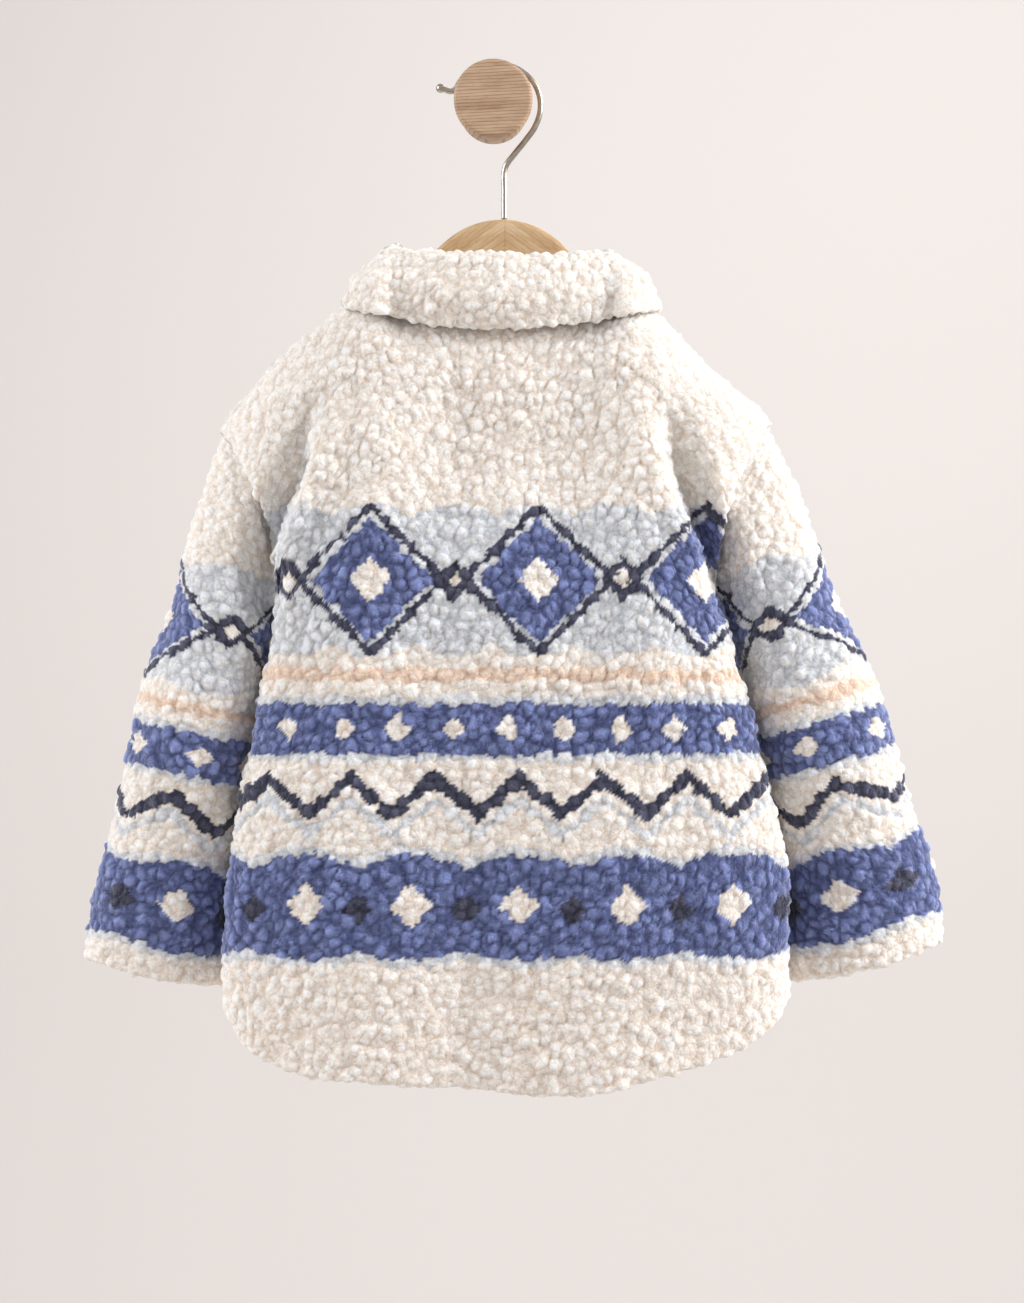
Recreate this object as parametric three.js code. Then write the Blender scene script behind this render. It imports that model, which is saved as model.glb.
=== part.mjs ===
// Child's fleece jacket seen from behind, on a wooden hanger over a round wall peg. Millimetres.
// +Z is up, +X is to the right in the view of the back, +Y points into the wall.
// The origin is the centre of the peg's back face; the wall is the plane y = 0.
// The jacket's back is turned to -Y and its buttoned front to the wall. left and right are the wearer's,
// which in a view of the back are the left and right of the view.
import * as THREE from 'three';

// Fleece
const WALL = 7.0;             // knitted base and curly pile together
const COLLAR_WALL = 5.5;      // each leaf of the folded collar
const SEAM = 0.4;             // open space between two pieces at a seam

// Hanger plane, neck and shoulders
const HANG_Y = -30;           // plane of the hanger, and the line of both shoulder seams
const NECK_X = 4.5;           // middle of the neck
const NECK_HALF = 65;         // half the width of the neck
const NECK_BACK_DEEP = 30;    // the back neckline lies this far behind the shoulder seams
const NECK_FRONT_DEEP = 15.5; // and the front neckline this far before them
const NECK_BACK_DROP = 22.5;  // the back neckline's middle hangs this far below the neck points
const NECK_FRONT_DROP = 54;
const COLUMN_Z = -176;        // above this height the panel's columns stand upright
// shoulder seam from neck point to shoulder tip: x, z
const SHOULDER_LEFT = [[-60.5, -94.6], [-72, -103.4], [-83.6, -112.3], [-93.3, -119.2], [-104.1, -127.6],
  [-114.8, -137], [-125.6, -147.6], [-136.4, -161.2], [-146, -178]];
const SHOULDER_RIGHT = [[69.5, -96.6], [80, -106.4], [92.4, -117.8], [100.5, -127], [111.2, -137.6],
  [122, -147], [132.7, -155.4], [140.8, -163.8], [147.8, -174]];

// Armhole: the seam loop from shoulder tip to underarm
const ARMHOLE = {
  left: { tip: [-146, -178], under: [-111.6, -269] },
  right: { tip: [147.8, -174], under: [117.8, -267] },
};
const UNDER_Y = -46;          // depth of the underarm point
const ARMHOLE_DEEP = 26;      // half the loop's depth front to back
const ARMHOLE_SCOOP = 9;     // the loop bows this far towards the neck
const SEAM_RIDGE = 2.0;       // the panel stands out this much beside the armhole seam
const UNDERARM_TUCK = 2.4;    // and is drawn in this much at the underarm
const ARMHOLE_FROM = 0.688;   // share of the side edge that is side seam, below the armhole

// Torso: height, middle, half width, depth of the back and of the front from the widest line
const WIDEST_Y = -66;
const TORSO = [
  [-110, -2.4, 88, 6, 52], [-152.6, -2.9, 88.5, 6, 52], [-173.7, -1.9, 92.8, 9, 52],
  [-194.8, -1.6, 96.2, 13, 52], [-216, -0.6, 103.6, 18, 53], [-237.1, -0.4, 110.2, 22, 54],
  [-258.2, 1.2, 115.2, 24, 56], [-279.4, 4.0, 119.7, 26, 58], [-300.5, 5.3, 124.2, 27, 58],
  [-321.6, 5.8, 130, 28, 58], [-342.8, 5.9, 134.2, 29, 58], [-363.9, 6.5, 139, 30, 58],
  [-385, 7.3, 143.4, 31, 58], [-406.2, 7.8, 147.4, 32, 58], [-427.3, 7.7, 149.6, 33, 58],
  [-459, 7.1, 150.1, 34, 58], [-480.1, 7.1, 149.4, 34, 58], [-530, 7.1, 148, 34, 58],
];
const SECTION_BACK = 2.4;     // exponent of the rounded section behind the widest line
const SECTION_FRONT = 2.2;
const SIDE_ANGLE = 104;       // degrees from the back's middle round to the side seam
const CHEST_Y = -13.5;         // outer face of the chest, flat before the hanger
const CHEST_Z = [-250, -185]; // the chest is flat above the second height and rounded below the first
// hem of the back: x, z
const HEM_BACK = [[-143, -484], [-140.1, -489], [-134.9, -500], [-121.8, -510.8], [-100.9, -517.6],
  [-79.9, -520.7], [-48.6, -522.8], [-27.6, -522.6], [-6.7, -524.4], [14.2, -527.4], [35.1, -528.4],
  [50.8, -527.4], [66.5, -523.8], [87.5, -519.1], [108.4, -513.4], [129.3, -505.5], [147.6, -494],
  [155.5, -482]];
const HEM_FRONT_MIDDLE = -512;
const FRONT_SOFT = -9;        // past this depth the front flattens towards the wall
const WALL_ROOM = 6;          // and it gets no further than this much beyond
const ROLL_BACK = 48;         // height over which the shoulder rolls into the back
const ROLL_FRONT = 20;
const LAP = 0.09;             // half the front lap, as a share of a front's width
const LAP_STEP = WALL + 0.8;  // the under front is set in by this much

// Folds of the back: x at the top and the bottom, height of the top and bottom, half width, height
const FOLDS_BACK = [
  [-62, -72, -160, -330, 17, 5.0], [78, 84, -160, -330, 16, 5.0], [-18, -30, -150, -300, 15, -3.4],
  [46, 40, -160, -290, 13, -3.0], [12, 8, -150, -260, 12, 2.2], [-78, -74, -330, -560, 32, 4.0],
  [-9, -14, -400, -560, 14, -5.5], [58, 64, -360, -560, 34, 4.5], [-118, -112, -250, -400, 12, 2.5],
  [118, 124, -300, -470, 12, 3.0], [-44, -100, -225, -330, 11, -2.4], [92, 30, -235, -330, 11, -2.2],
];
const FOLDS_FRONT = [
  [-52, -66, -170, -420, 18, 2.4], [64, 76, -180, -430, 18, 2.4], [-30, -40, -380, -560, 15, -3.6],
  [48, 60, -370, -560, 15, -3.4], [-84, -96, -300, -540, 16, -3.0], [92, 104, -300, -540, 16, -3.0],
];

// Sleeves: outer edge x and z, then the height of the inner edge and half the depth, ring by ring
const SLEEVE_LEFT = [
  [-150.8, -193.4, -281, 29], [-157.2, -213, -293, 32], [-163.6, -233, -306, 34],
  [-170.2, -256, -320, 35], [-177.6, -281, -336, 35], [-186.4, -308, -353, 34.5],
  [-193.6, -336, -371, 33.5], [-200.6, -366, -391, 32], [-207.2, -395, -412, 30.5],
  [-213, -421, -434, 29], [-217.2, -443, -456, 27.5], [-218.4, -459.5, -474.5, 26.5],
];
const SLEEVE_RIGHT = [
  [154.8, -190, -279, 29], [164.6, -210, -291, 32], [172.4, -231, -304, 34],
  [181, -254, -318, 35], [190.8, -279, -334, 35], [201.6, -306, -351, 34.5],
  [211.6, -334, -369, 33.5], [221.2, -364, -389, 32], [230, -392, -410, 30.5],
  [236.8, -416, -432, 29], [240.8, -436, -454, 27.5], [241.8, -450, -472, 26.5],
];
const SLEEVE_Y = -40;
const SLEEVE_OFF_BODY = 1.6;  // clear space between a sleeve and the side of the torso
const UNDERARM_CLEAR = 2.2;   // the sleeve stands off the torso below the underarm
const CUFF_SAG = 3;           // the cuff's edge hangs lower in the middle
// folds across a sleeve: place along it, half width along it, angle round it, half width round it, height
const SLEEVE_FOLDS = [[0.20, 0.07, 70, 55, -3.0], [0.36, 0.06, 35, 60, -2.4], [0.55, 0.08, 80, 60, 2.2],
  [0.70, 0.07, 50, 55, -2.2], [0.30, 0.08, 290, 60, -2.4], [0.62, 0.08, 280, 60, -2.0]];

// Collar, in the plane across the neckline: outward and up from the neckline, middle of the leaf
// columns: foot of the stand, stand, inner turn, crown of the fold, outer turn
const COLLAR_BACK = [[-3.0, 3.6], [-4.4, 14], [-3.6, 25.5], [1.0, 31.0], [5.8, 26.5]];
const COLLAR_SIDE = [[-4.4, 3.4], [-9.2, 7.0], [-13.0, 9.6], [-12.0, 14.0], [-5.4, 13.8]];
const COLLAR_FRONT = [[-3.0, 6.4], [-4.0, 11], [-3.2, 16], [0.2, 19.6], [4.4, 16]];
// edge of the fall: angle round the neck, share across the panel on the left and on the right,
// height below the shoulder or neckline
const FALL_EDGE = [[0, -0.05, 0.05, 8.5], [18, 0.14, 0.25, 9.5], [36, 0.30, 0.42, 13],
  [52, 0.475, 0.585, 15], [66, 0.615, 0.688, 12], [78, 0.66, 0.715, 6], [90, 0.668, 0.72, 0]];
const FALL_EDGE_FRONT = [[90, 0.68, 0.723, 0], [102, 0.678, 0.72, 6], [118, 0.645, 0.69, 14],
  [136, 0.565, 0.632, 20], [152, 0.37, 0.50, 27], [168, 0.16, 0.29, 34]];
const FOOT_LIFT = 2.4;        // the stand's foot is raised where the front neckline is steep
const COLLAR_END = 168;       // degrees from the middle of the back to the end of the collar
const FALL_LIFT = 5.8;        // middle of the fall's edge above the panel under it
// how far the fall bows out between fold and edge: angle round the neck, left side, right side
const FALL_BOW = [[0, 4.4, 4.4], [50, 6.5, 5.5], [64, 11, 8.4], [80, 5.4, 6], [90, 4.8, 5.6],
  [110, 7, 7], [130, 7, 7], [168, 5, 5]];

// Buttons of the front
const BUTTON_R = 8.5;
const BUTTON_THICK = 3;
const BUTTON_Z = [-196, -260, -324, -388, -452];

// Hanger: the crown's top, its arch and the straight arms
const HANGER_X = 6.3;
const HANGER_TOP = -63.5;
const HANGER_ARCH = 46;
const HANGER_SLOPE = 44;      // degrees
const HANGER_TILT = 1.7;      // degrees, the right arm lower
const HANGER_HALF = 118;
const HANGER_THICK = 10.6;
const HANGER_TALL = 23;
const HANGER_EDGE = 4.2;
// Hook wire: x, z of its middle line from the crown round the peg to the tip
const WIRE_R = 1.6;
const WIRE_PATH = [[5.9, -63.1], [5.9, -48], [5.9, -38], [7.2, -33.6], [10.6, -29], [17.2, -20.8],
  [22.6, -13], [25.3, -4.5], [24.8, 3.6], [21.2, 11.2], [15.2, 16.6], [8, 19.8], [0, 20.6],
  [-8, 19.4], [-14.4, 15.4], [-18.2, 10.4], [-20.4, 6.8], [-22.8, 5.7], [-26, 6.6]];
const TIP_R = 2.5;
// Peg: radius of the neck and disc, where the disc starts and ends, its soft edge
const PEG_NECK_R = 18.6;
const PEG_R = 21.1;
const PEG_DISC_Y = -33;
const PEG_FACE_Y = -46;
const PEG_EDGE = 2.2;

const rad = (d) => d * Math.PI / 180;
const mix = (a, b, t) => a + (b - a) * t;
const clamp = (t) => Math.min(1, Math.max(0, t));
const soft = (t) => { const c = clamp(t); return c * c * (3 - 2 * c); };
const vec = (x, y, z) => new THREE.Vector3(x, y, z);

// Smooth curve through the rows of a table: the value of column c at x in column 0, rows in any order
function along(table, x, c = 1) {
  const rows = table[0][0] < table[table.length - 1][0] ? table : [...table].reverse();
  const n = rows.length;
  if (x <= rows[0][0]) return rows[0][c];
  if (x >= rows[n - 1][0]) return rows[n - 1][c];
  let i = 0;
  while (rows[i + 1][0] < x) i += 1;
  const slope = (k) => {
    const a = rows[Math.max(k - 1, 0)];
    const b = rows[Math.min(k + 1, n - 1)];
    return (b[c] - a[c]) / (b[0] - a[0]);
  };
  const h = rows[i + 1][0] - rows[i][0];
  const t = (x - rows[i][0]) / h;
  const t2 = t * t;
  const t3 = t2 * t;
  return (2 * t3 - 3 * t2 + 1) * rows[i][c] + (t3 - 2 * t2 + t) * h * slope(i)
    + (3 * t2 - 2 * t3) * rows[i + 1][c] + (t3 - t2) * h * slope(i + 1);
}

// Rounded section of the torso at an angle from the middle of the back: unit width and unit depth
function section(angle) {
  const s = Math.sin(rad(angle));
  const k = Math.cos(rad(angle));
  const e = 2 / (k >= 0 ? SECTION_BACK : SECTION_FRONT);
  return [Math.sign(s) * Math.abs(s) ** e, -Math.sign(k) * Math.abs(k) ** e];
}

// Angle for an even share of the way round a panel, from a table of lengths round a middling section
function evenAngles(from, to) {
  const n = 400;
  const lengths = [0];
  let last = null;
  for (let i = 0; i <= n; i += 1) {
    const angle = mix(from, to, i / n);
    const [sx, sy] = section(angle);
    const p = [125 * sx, (sy < 0 ? 28 : 58) * sy];
    if (last) lengths.push(lengths[i - 1] + Math.hypot(p[0] - last[0], p[1] - last[1]));
    last = p;
  }
  return (share) => {
    const goal = clamp(share) * lengths[n];
    let i = 0;
    while (i < n - 1 && lengths[i + 1] < goal) i += 1;
    return mix(from, to, (i + (goal - lengths[i]) / (lengths[i + 1] - lengths[i])) / n);
  };
}
const backAngle = evenAngles(0, SIDE_ANGLE);
const frontAngle = evenAngles(180, SIDE_ANGLE);

// Armhole loop: place for the cosine of the angle from tip to underarm, and face -1 behind, +1 before.
// ease 0.5 is the round loop; more starts out slower from the underarm, for the panel beside the loop.
function armhole(side, c, face, ease = 0.5) {
  const { tip, under } = ARMHOLE[side];
  const s = Math.max(0, 1 - c * c) ** ease;
  const inward = side === 'left' ? 1 : -1;
  return vec(mix(under[0], tip[0], (1 + c) / 2) + inward * ARMHOLE_SCOOP * (1 - c * c),
    mix(UNDER_Y, HANG_Y, (1 + c) / 2) + face * ARMHOLE_DEEP * s, mix(under[1], tip[1], (1 + c) / 2));
}
// Direction of the wall at the armhole, the same for panel and sleeve, so that their edges meet flat
function armholeNormal(side, c, face) {
  const out = side === 'left' ? -1 : 1;
  const s = Math.sqrt(Math.max(0, 1 - c * c));
  return vec(out * (0.86 * Math.max(c, 0) + 0.27 * Math.max(-c, 0)), face * s,
    0.51 * Math.max(c, 0) - 0.96 * Math.max(-c, 0)).normalize();
}

function foldHeight(folds, x, z) {
  let sum = 0;
  for (const [x0, x1, z0, z1, wide, high] of folds) {
    const t = (z0 - z) / (z0 - z1);
    const ends = soft((t + 0.15) / 0.3) * soft((1.15 - t) / 0.3);
    const d = (x - mix(x0, x1, clamp(t))) / wide;
    sum += high * ends * Math.exp(-d * d);
  }
  return sum;
}

// A panel of the torso. face -1 is the back, +1 the front; u runs from side seam to side seam, -1 to 1.
const widthShare = (face, u) => section(face < 0 ? backAngle(Math.abs(u)) : frontAngle(Math.abs(u)));
function blank(face, u, z) {
  const zc = Math.min(z, COLUMN_Z);
  const [sx, sy] = widthShare(face, u);
  const x = along(TORSO, zc, 1) + Math.sign(u) * along(TORSO, zc, 2) * sx;
  let y = WIDEST_Y + (sy < 0 ? along(TORSO, z, 3) : along(TORSO, z, 4)) * sy;
  if (face > 0) y = mix(y, CHEST_Y, soft((z - CHEST_Z[0]) / (CHEST_Z[1] - CHEST_Z[0])));
  return [x, y];
}
const edgeBlend = (face, u) => {
  const from = face < 0 ? 0.62 : 0.55;
  return soft((Math.abs(u) - from) / (1 - from));
};
const sideOf = (u) => (u < 0 ? 'left' : 'right');
function topX(face, u) {
  const side = sideOf(u);
  const shift = ARMHOLE[side].tip[0] - blank(face, Math.sign(u) || 1, 0)[0];
  return blank(face, u, 0)[0] + edgeBlend(face, u) * shift;
}
// Neckline at a share of the neck's depth: y and how far below the neck points
function neckline(face, c) {
  if (face < 0) return [HANG_Y - NECK_BACK_DEEP * c, NECK_BACK_DROP * c];
  return [HANG_Y + NECK_FRONT_DEEP * soft(c / 0.35), NECK_FRONT_DROP * c ** 1.8];
}
// The top edge: neckline inside the neck points, shoulder seam outside them; gives y, z and how far inside
function topEdge(face, u) {
  const x = topX(face, u);
  const e = (x - NECK_X) / NECK_HALF;
  if (Math.abs(e) >= 1) {
    return { x, y: HANG_Y, z: along(x < 0 ? SHOULDER_LEFT : SHOULDER_RIGHT, x), inside: 0, c: 0 };
  }
  const c = Math.sqrt(1 - e * e);
  const z0 = mix(SHOULDER_LEFT[0][1], SHOULDER_RIGHT[0][1], (1 + e) / 2);
  const [y, drop] = neckline(face, c);
  return { x, y, z: z0 - drop, inside: soft(c / 0.7), c };
}
function hemZ(face, u) {
  const side = ARMHOLE[sideOf(u)];
  const zSide = (side.under[1] - ARMHOLE_FROM * side.tip[1]) / (1 - ARMHOLE_FROM);
  if (face > 0) return mix(zSide, HEM_FRONT_MIDDLE, soft((1 - Math.abs(u)) / 0.42));
  const table = HEM_BACK;
  const x = blank(face, u, -500)[0];
  const angle = backAngle(Math.abs(u));
  const outside = clamp((angle - 84) / (SIDE_ANGLE - 84));
  return mix(along(table, x), zSide, outside * outside * (3 - 2 * outside));
}
function panel(face, u, v) {
  const side = sideOf(u);
  const top = topEdge(face, u);
  const hem = hemZ(face, u);
  const z = mix(hem, top.z, v);
  const roll = face < 0 ? ROLL_BACK : ROLL_FRONT;
  const power = face < 0 ? 2 : 3;
  const rolled = (zz, topZ, inside) => {
    const t = clamp((topZ - zz) / roll);
    return mix((1 - (1 - t) ** power) ** (1 / power), Math.sin(t * Math.PI / 2), inside);
  };
  const sheet = (uu, zz, topYZ) => {
    const [x, y] = blank(face, uu, zz);
    return [x, mix(topYZ.y, y, rolled(zz, topYZ.z, topYZ.inside))];
  };
  let [x, y] = sheet(u, z, top);
  let low = vec(0, 0, 0);
  const blend = edgeBlend(face, u);
  if (blend > 0) {
    const end = Math.sign(u);
    const { tip, under } = ARMHOLE[side];
    const zEnd = mix((under[1] - ARMHOLE_FROM * tip[1]) / (1 - ARMHOLE_FROM), tip[1], v);
    const [ex, ey] = sheet(end, zEnd, { y: HANG_Y, z: tip[1], inside: 0 });
    const c = (v - ARMHOLE_FROM) / (1 - ARMHOLE_FROM) * 2 - 1;
    let goal = null;
    let hold = 1;
    if (c >= -1) {
      const ease = c < 0 ? mix(0.5, 1.1, soft((0.93 - Math.abs(u)) / 0.12)) : 0.5;
      goal = armhole(side, Math.min(c, 1), face, ease);
    }
    else {
      const [ux, uy] = sheet(end, under[1], { y: HANG_Y, z: tip[1], inside: 0 });
      hold = 1 - soft((under[1] - zEnd) / 45);
      goal = vec(ex + under[0] - ux, ey + UNDER_Y - uy, 0);
    }
    x += blend * hold * (goal.x - ex);
    y += blend * hold * (goal.y - ey);
    const a = Math.abs(u);
    const beside = soft((a - 0.88) / 0.06) * soft((1 - a) / 0.03);
    low = armholeNormal(side, Math.min(1, Math.max(-1, c)), face)
      .multiplyScalar(SEAM_RIDGE * beside * soft((c + 0.9) / 0.3));
    low.x -= end * UNDERARM_TUCK * beside * Math.exp(-(((c + 1) / 0.25) ** 2));
  }
  const calm = (1 - blend) * soft((top.z - z) / 26);
  y += face * foldHeight(face < 0 ? FOLDS_BACK : FOLDS_FRONT, x, z) * calm;
  // the front stays before the wall
  if (face > 0 && y > FRONT_SOFT) y = FRONT_SOFT + WALL_ROOM * (1 - Math.exp((FRONT_SOFT - y) / WALL_ROOM));
  return vec(x, y, z).add(low);
}
// Direction of the wall along the top edge: one for back and front at the shoulder seam, level at the neck
function topNormal(face, u) {
  const table = topX(face, u) < 0 ? SHOULDER_LEFT : SHOULDER_RIGHT;
  const x = topX(face, u);
  const n = vec(along(table, x - 2) - along(table, x + 2), 0, 4).normalize();
  const near = soft((Math.abs(x - NECK_X) - 120) / 25);
  n.lerp(armholeNormal(sideOf(u), 1, face), near).normalize();
  return n.lerp(vec(0, face, 0.15), soft(topEdge(face, u).c / (face < 0 ? 0.8 : 0.42))).normalize();
}
function panelNormal(face, u, v) {
  const d = 2e-4;
  const c = (v - ARMHOLE_FROM) / (1 - ARMHOLE_FROM) * 2 - 1;
  const du = panel(face, Math.min(u + d, 1), v).sub(panel(face, Math.max(u - d, -1), v));
  const dv = panel(face, u, Math.min(v + d, 1)).sub(panel(face, u, Math.max(v - d, 0)));
  // beside the underarm the sheet turns too quickly for this, and there it is taken as upright
  const upright = soft((Math.abs(u) - 0.6) / 0.15) * soft((0.95 - Math.abs(u)) / 0.05)
    * soft((c + 1.7) / 0.4) * soft((-0.7 - c) / 0.2);
  dv.normalize().lerp(vec(0, 0, 1), upright);
  const n = du.cross(dv).normalize();
  if (face > 0) n.negate();
  const top = topEdge(face, u);
  const below = (1 - v) * (top.z - hemZ(face, u));
  const upper = 1 - soft(below / (top.c > 0 ? 22 : 1.5));
  if (upper > 0) n.lerp(topNormal(face, u), upper).normalize();
  const near = soft((Math.abs(u) - 0.86) / 0.14) * soft((c + 1.35) / 0.35);
  if (near > 0) n.lerp(armholeNormal(sideOf(u), Math.min(1, Math.max(-1, c)), face), near).normalize();
  return n;
}

// Sleeve ring by ring: k runs from 0 at the armhole to 1 at the cuff, angle from the outer edge round the back
const sleeveRows = { left: SLEEVE_LEFT, right: SLEEVE_RIGHT };
function sleeveTable(side) {
  const { tip, under } = ARMHOLE[side];
  const out = side === 'left' ? -1 : 1;
  const rows = [[0, tip[0], tip[1], under[0], under[1], ARMHOLE_DEEP, HANG_Y, UNDER_Y]];
  const list = sleeveRows[side];
  list.forEach(([ox, oz, iz, deep], i) => {
    const ix = along(TORSO, iz, 1) + out * (0.98 * along(TORSO, iz, 2) - 0.6 + SLEEVE_OFF_BODY);
    const y = Math.min(1, (i + 1) / 3);
    rows.push([(i + 1) / list.length, ox, oz, ix, iz, deep, mix(HANG_Y, SLEEVE_Y, y),
      mix(UNDER_Y, SLEEVE_Y, y)]);
  });
  return rows;
}
const tables = { left: sleeveTable('left'), right: sleeveTable('right') };
function sleeve(side, k, angle) {
  const t = tables[side];
  const c = Math.cos(rad(angle));
  const s = Math.sin(rad(angle));
  const inward = side === 'left' ? 1 : -1;
  const scoop = ARMHOLE_SCOOP * (1 - soft(k / (c < 0 ? mix(0.3, 0.09, -c) : 0.3))) * s * s;
  const ox = along(t, k, 1); const oz = along(t, k, 2);
  const ix = along(t, k, 3); const iz = along(t, k, 4);
  const deep = along(t, k, 5);
  let bump = 0;
  for (const [place, wide, turn, round, high] of SLEEVE_FOLDS) {
    let a = Math.abs(((angle - turn) % 360 + 540) % 360 - 180);
    a /= round;
    const d = (k - place) / wide;
    bump += high * Math.exp(-d * d - a * a);
  }
  bump *= soft(k / 0.12) * (0.5 - 0.5 * c < 0.72 ? 1 : soft((1 + c) / 0.56));
  const m = (1 + c) / 2;
  const clear = UNDERARM_CLEAR * soft(k / 0.05) * (1 - soft((k - 0.16) / 0.2)) * soft((0.15 - c) / 0.4);
  return vec(mix(ix, ox, m) + inward * (scoop - clear) + (side === 'left' ? -1 : 1) * bump * Math.max(c, 0),
    mix(along(t, k, 7), along(t, k, 6), m) - (deep + bump * Math.abs(s)) * s,
    mix(iz, oz, m) - CUFF_SAG * s * s * soft((k - 0.7) / 0.3));
}
function sleeveNormal(side, k, angle) {
  const d = 1e-3;
  const dk = sleeve(side, Math.min(1, k + d), angle).sub(sleeve(side, Math.max(0, k - d), angle));
  const da = sleeve(side, k, angle + 0.05).sub(sleeve(side, k, angle - 0.05));
  const n = side === 'left' ? dk.cross(da) : da.cross(dk);
  n.normalize();
  const face = Math.sin(rad(angle)) >= 0 ? -1 : 1;
  const near = 1 - soft(k / 0.1);
  if (near > 0) n.lerp(armholeNormal(side, Math.cos(rad(angle)), face), near).normalize();
  return n;
}

// Closed meshes
function mesh(name, colour, points, faces) {
  let volume = 0;
  for (const [a, b, c] of faces) volume += points[a].dot(points[b].clone().cross(points[c]));
  const array = new Float32Array(points.length * 3);
  points.forEach((p, i) => { array[3 * i] = p.x; array[3 * i + 1] = p.y; array[3 * i + 2] = p.z; });
  const index = [];
  for (const [a, b, c] of faces) index.push(...(volume > 0 ? [a, b, c] : [a, c, b]));
  const geometry = new THREE.BufferGeometry();
  geometry.setAttribute('position', new THREE.BufferAttribute(array, 3));
  geometry.setIndex(index);
  const out = new THREE.Mesh(geometry, new THREE.MeshStandardMaterial({ color: colour, roughness: 0.9 }));
  out.name = name;
  return out;
}
// A wall between two grids of points; around = true joins the last column to the first
function wall(name, colour, outer, inner, around = false) {
  const rows = outer.length;
  const cols = outer[0].length;
  const points = [...outer.flat(), ...inner.flat()];
  const o = (i, j) => i * cols + (j % cols);
  const n = (i, j) => rows * cols + o(i, j);
  const faces = [];
  const quad = (a, b, c, d) => faces.push([a, b, c], [a, c, d]);
  const last = around ? cols : cols - 1;
  for (let i = 0; i < rows - 1; i += 1) {
    for (let j = 0; j < last; j += 1) {
      quad(o(i, j), o(i, j + 1), o(i + 1, j + 1), o(i + 1, j));
      quad(n(i, j), n(i + 1, j), n(i + 1, j + 1), n(i, j + 1));
    }
    if (!around) {
      quad(o(i, 0), o(i + 1, 0), n(i + 1, 0), n(i, 0));
      quad(o(i, cols - 1), n(i, cols - 1), n(i + 1, cols - 1), o(i + 1, cols - 1));
    }
  }
  for (let j = 0; j < last; j += 1) {
    quad(o(0, j), n(0, j), n(0, j + 1), o(0, j + 1));
    quad(o(rows - 1, j), o(rows - 1, j + 1), n(rows - 1, j + 1), n(rows - 1, j));
  }
  return mesh(name, colour, points, faces);
}
// A solid through closed rings of points, its ends filled from their middle
function loft(name, colour, rings) {
  const m = rings[0].length;
  const points = rings.flat();
  const faces = [];
  for (let i = 0; i < rings.length - 1; i += 1) {
    for (let j = 0; j < m; j += 1) {
      const a = i * m + j;
      const b = i * m + (j + 1) % m;
      faces.push([a, b, b + m], [a, b + m, a + m]);
    }
  }
  for (const i of [0, rings.length - 1]) {
    const middle = rings[i].reduce((s, p) => s.add(p), vec(0, 0, 0)).multiplyScalar(1 / m);
    const k = points.push(middle) - 1;
    for (let j = 0; j < m; j += 1) {
      const a = i * m + j;
      const b = i * m + (j + 1) % m;
      faces.push(i === 0 ? [k, b, a] : [k, a, b]);
    }
  }
  return mesh(name, colour, points, faces);
}

// Shares across a panel whose top edge lies at the wanted x
function shareAt(face, x) {
  let lo = -1;
  let hi = 1;
  for (let i = 0; i < 50; i += 1) {
    const m = (lo + hi) / 2;
    if (topX(face, m) < x) lo = m; else hi = m;
  }
  return (lo + hi) / 2;
}
const SHOULDER_STEPS = 8;
const NECK_STEPS = 10;
const ARM_STEPS = 10;
const SIDE_STEPS = 13;
function seamXs() {
  const xs = [];
  const left = SHOULDER_LEFT[0][0];
  const right = SHOULDER_RIGHT[0][0];
  for (let i = 0; i < SHOULDER_STEPS; i += 1) xs.push(mix(ARMHOLE.left.tip[0], left, i / SHOULDER_STEPS));
  for (let i = 0; i <= NECK_STEPS; i += 1) {
    xs.push(NECK_X + NECK_HALF * Math.sin(rad(-90 + 180 * i / NECK_STEPS)));
  }
  for (let i = 1; i <= SHOULDER_STEPS; i += 1) xs.push(mix(right, ARMHOLE.right.tip[0], i / SHOULDER_STEPS));
  return xs;
}
const ROWS = [];
for (let i = 0; i < SIDE_STEPS; i += 1) ROWS.push(ARMHOLE_FROM * i / SIDE_STEPS);
for (let i = 0; i <= ARM_STEPS; i += 1) {
  ROWS.push(mix(ARMHOLE_FROM, 1, (1 - Math.cos(Math.PI * i / ARM_STEPS)) / 2));
}

function panelWall(name, colour, face, shares, setIn = () => 0) {
  const outer = [];
  const inner = [];
  for (const v of ROWS) {
    const a = [];
    const b = [];
    for (const u of shares) {
      const p = panel(face, u, v);
      const n = panelNormal(face, u, v);
      p.y -= face * setIn(u);
      if (Math.abs(u) === 1) {
        const towards = panel(face, u * 0.995, v).sub(p).normalize();
        p.addScaledVector(towards, SEAM / 2);
      }
      if (v === 1 && topEdge(face, u).inside < 1e-4) p.y += face * SEAM / 2;
      a.push(p);
      b.push(p.clone().addScaledVector(n, -WALL));
    }
    outer.push(a);
    inner.push(b);
  }
  return wall(name, colour, outer, inner);
}
const clean = (u) => (Math.abs(u) > 0.99999 ? Math.sign(u) : u);
const backShares = seamXs().map((x) => clean(shareAt(-1, x)));
const frontShares = seamXs().map((x) => clean(shareAt(1, x)));
const overShares = [...frontShares.filter((u) => u < LAP - 0.02), LAP];
const underShares = [-LAP, ...frontShares.filter((u) => u > -LAP + 0.02)];
const lapSetIn = (u) => LAP_STEP * (1 - soft((u - LAP - 0.09) / 0.16));

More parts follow.
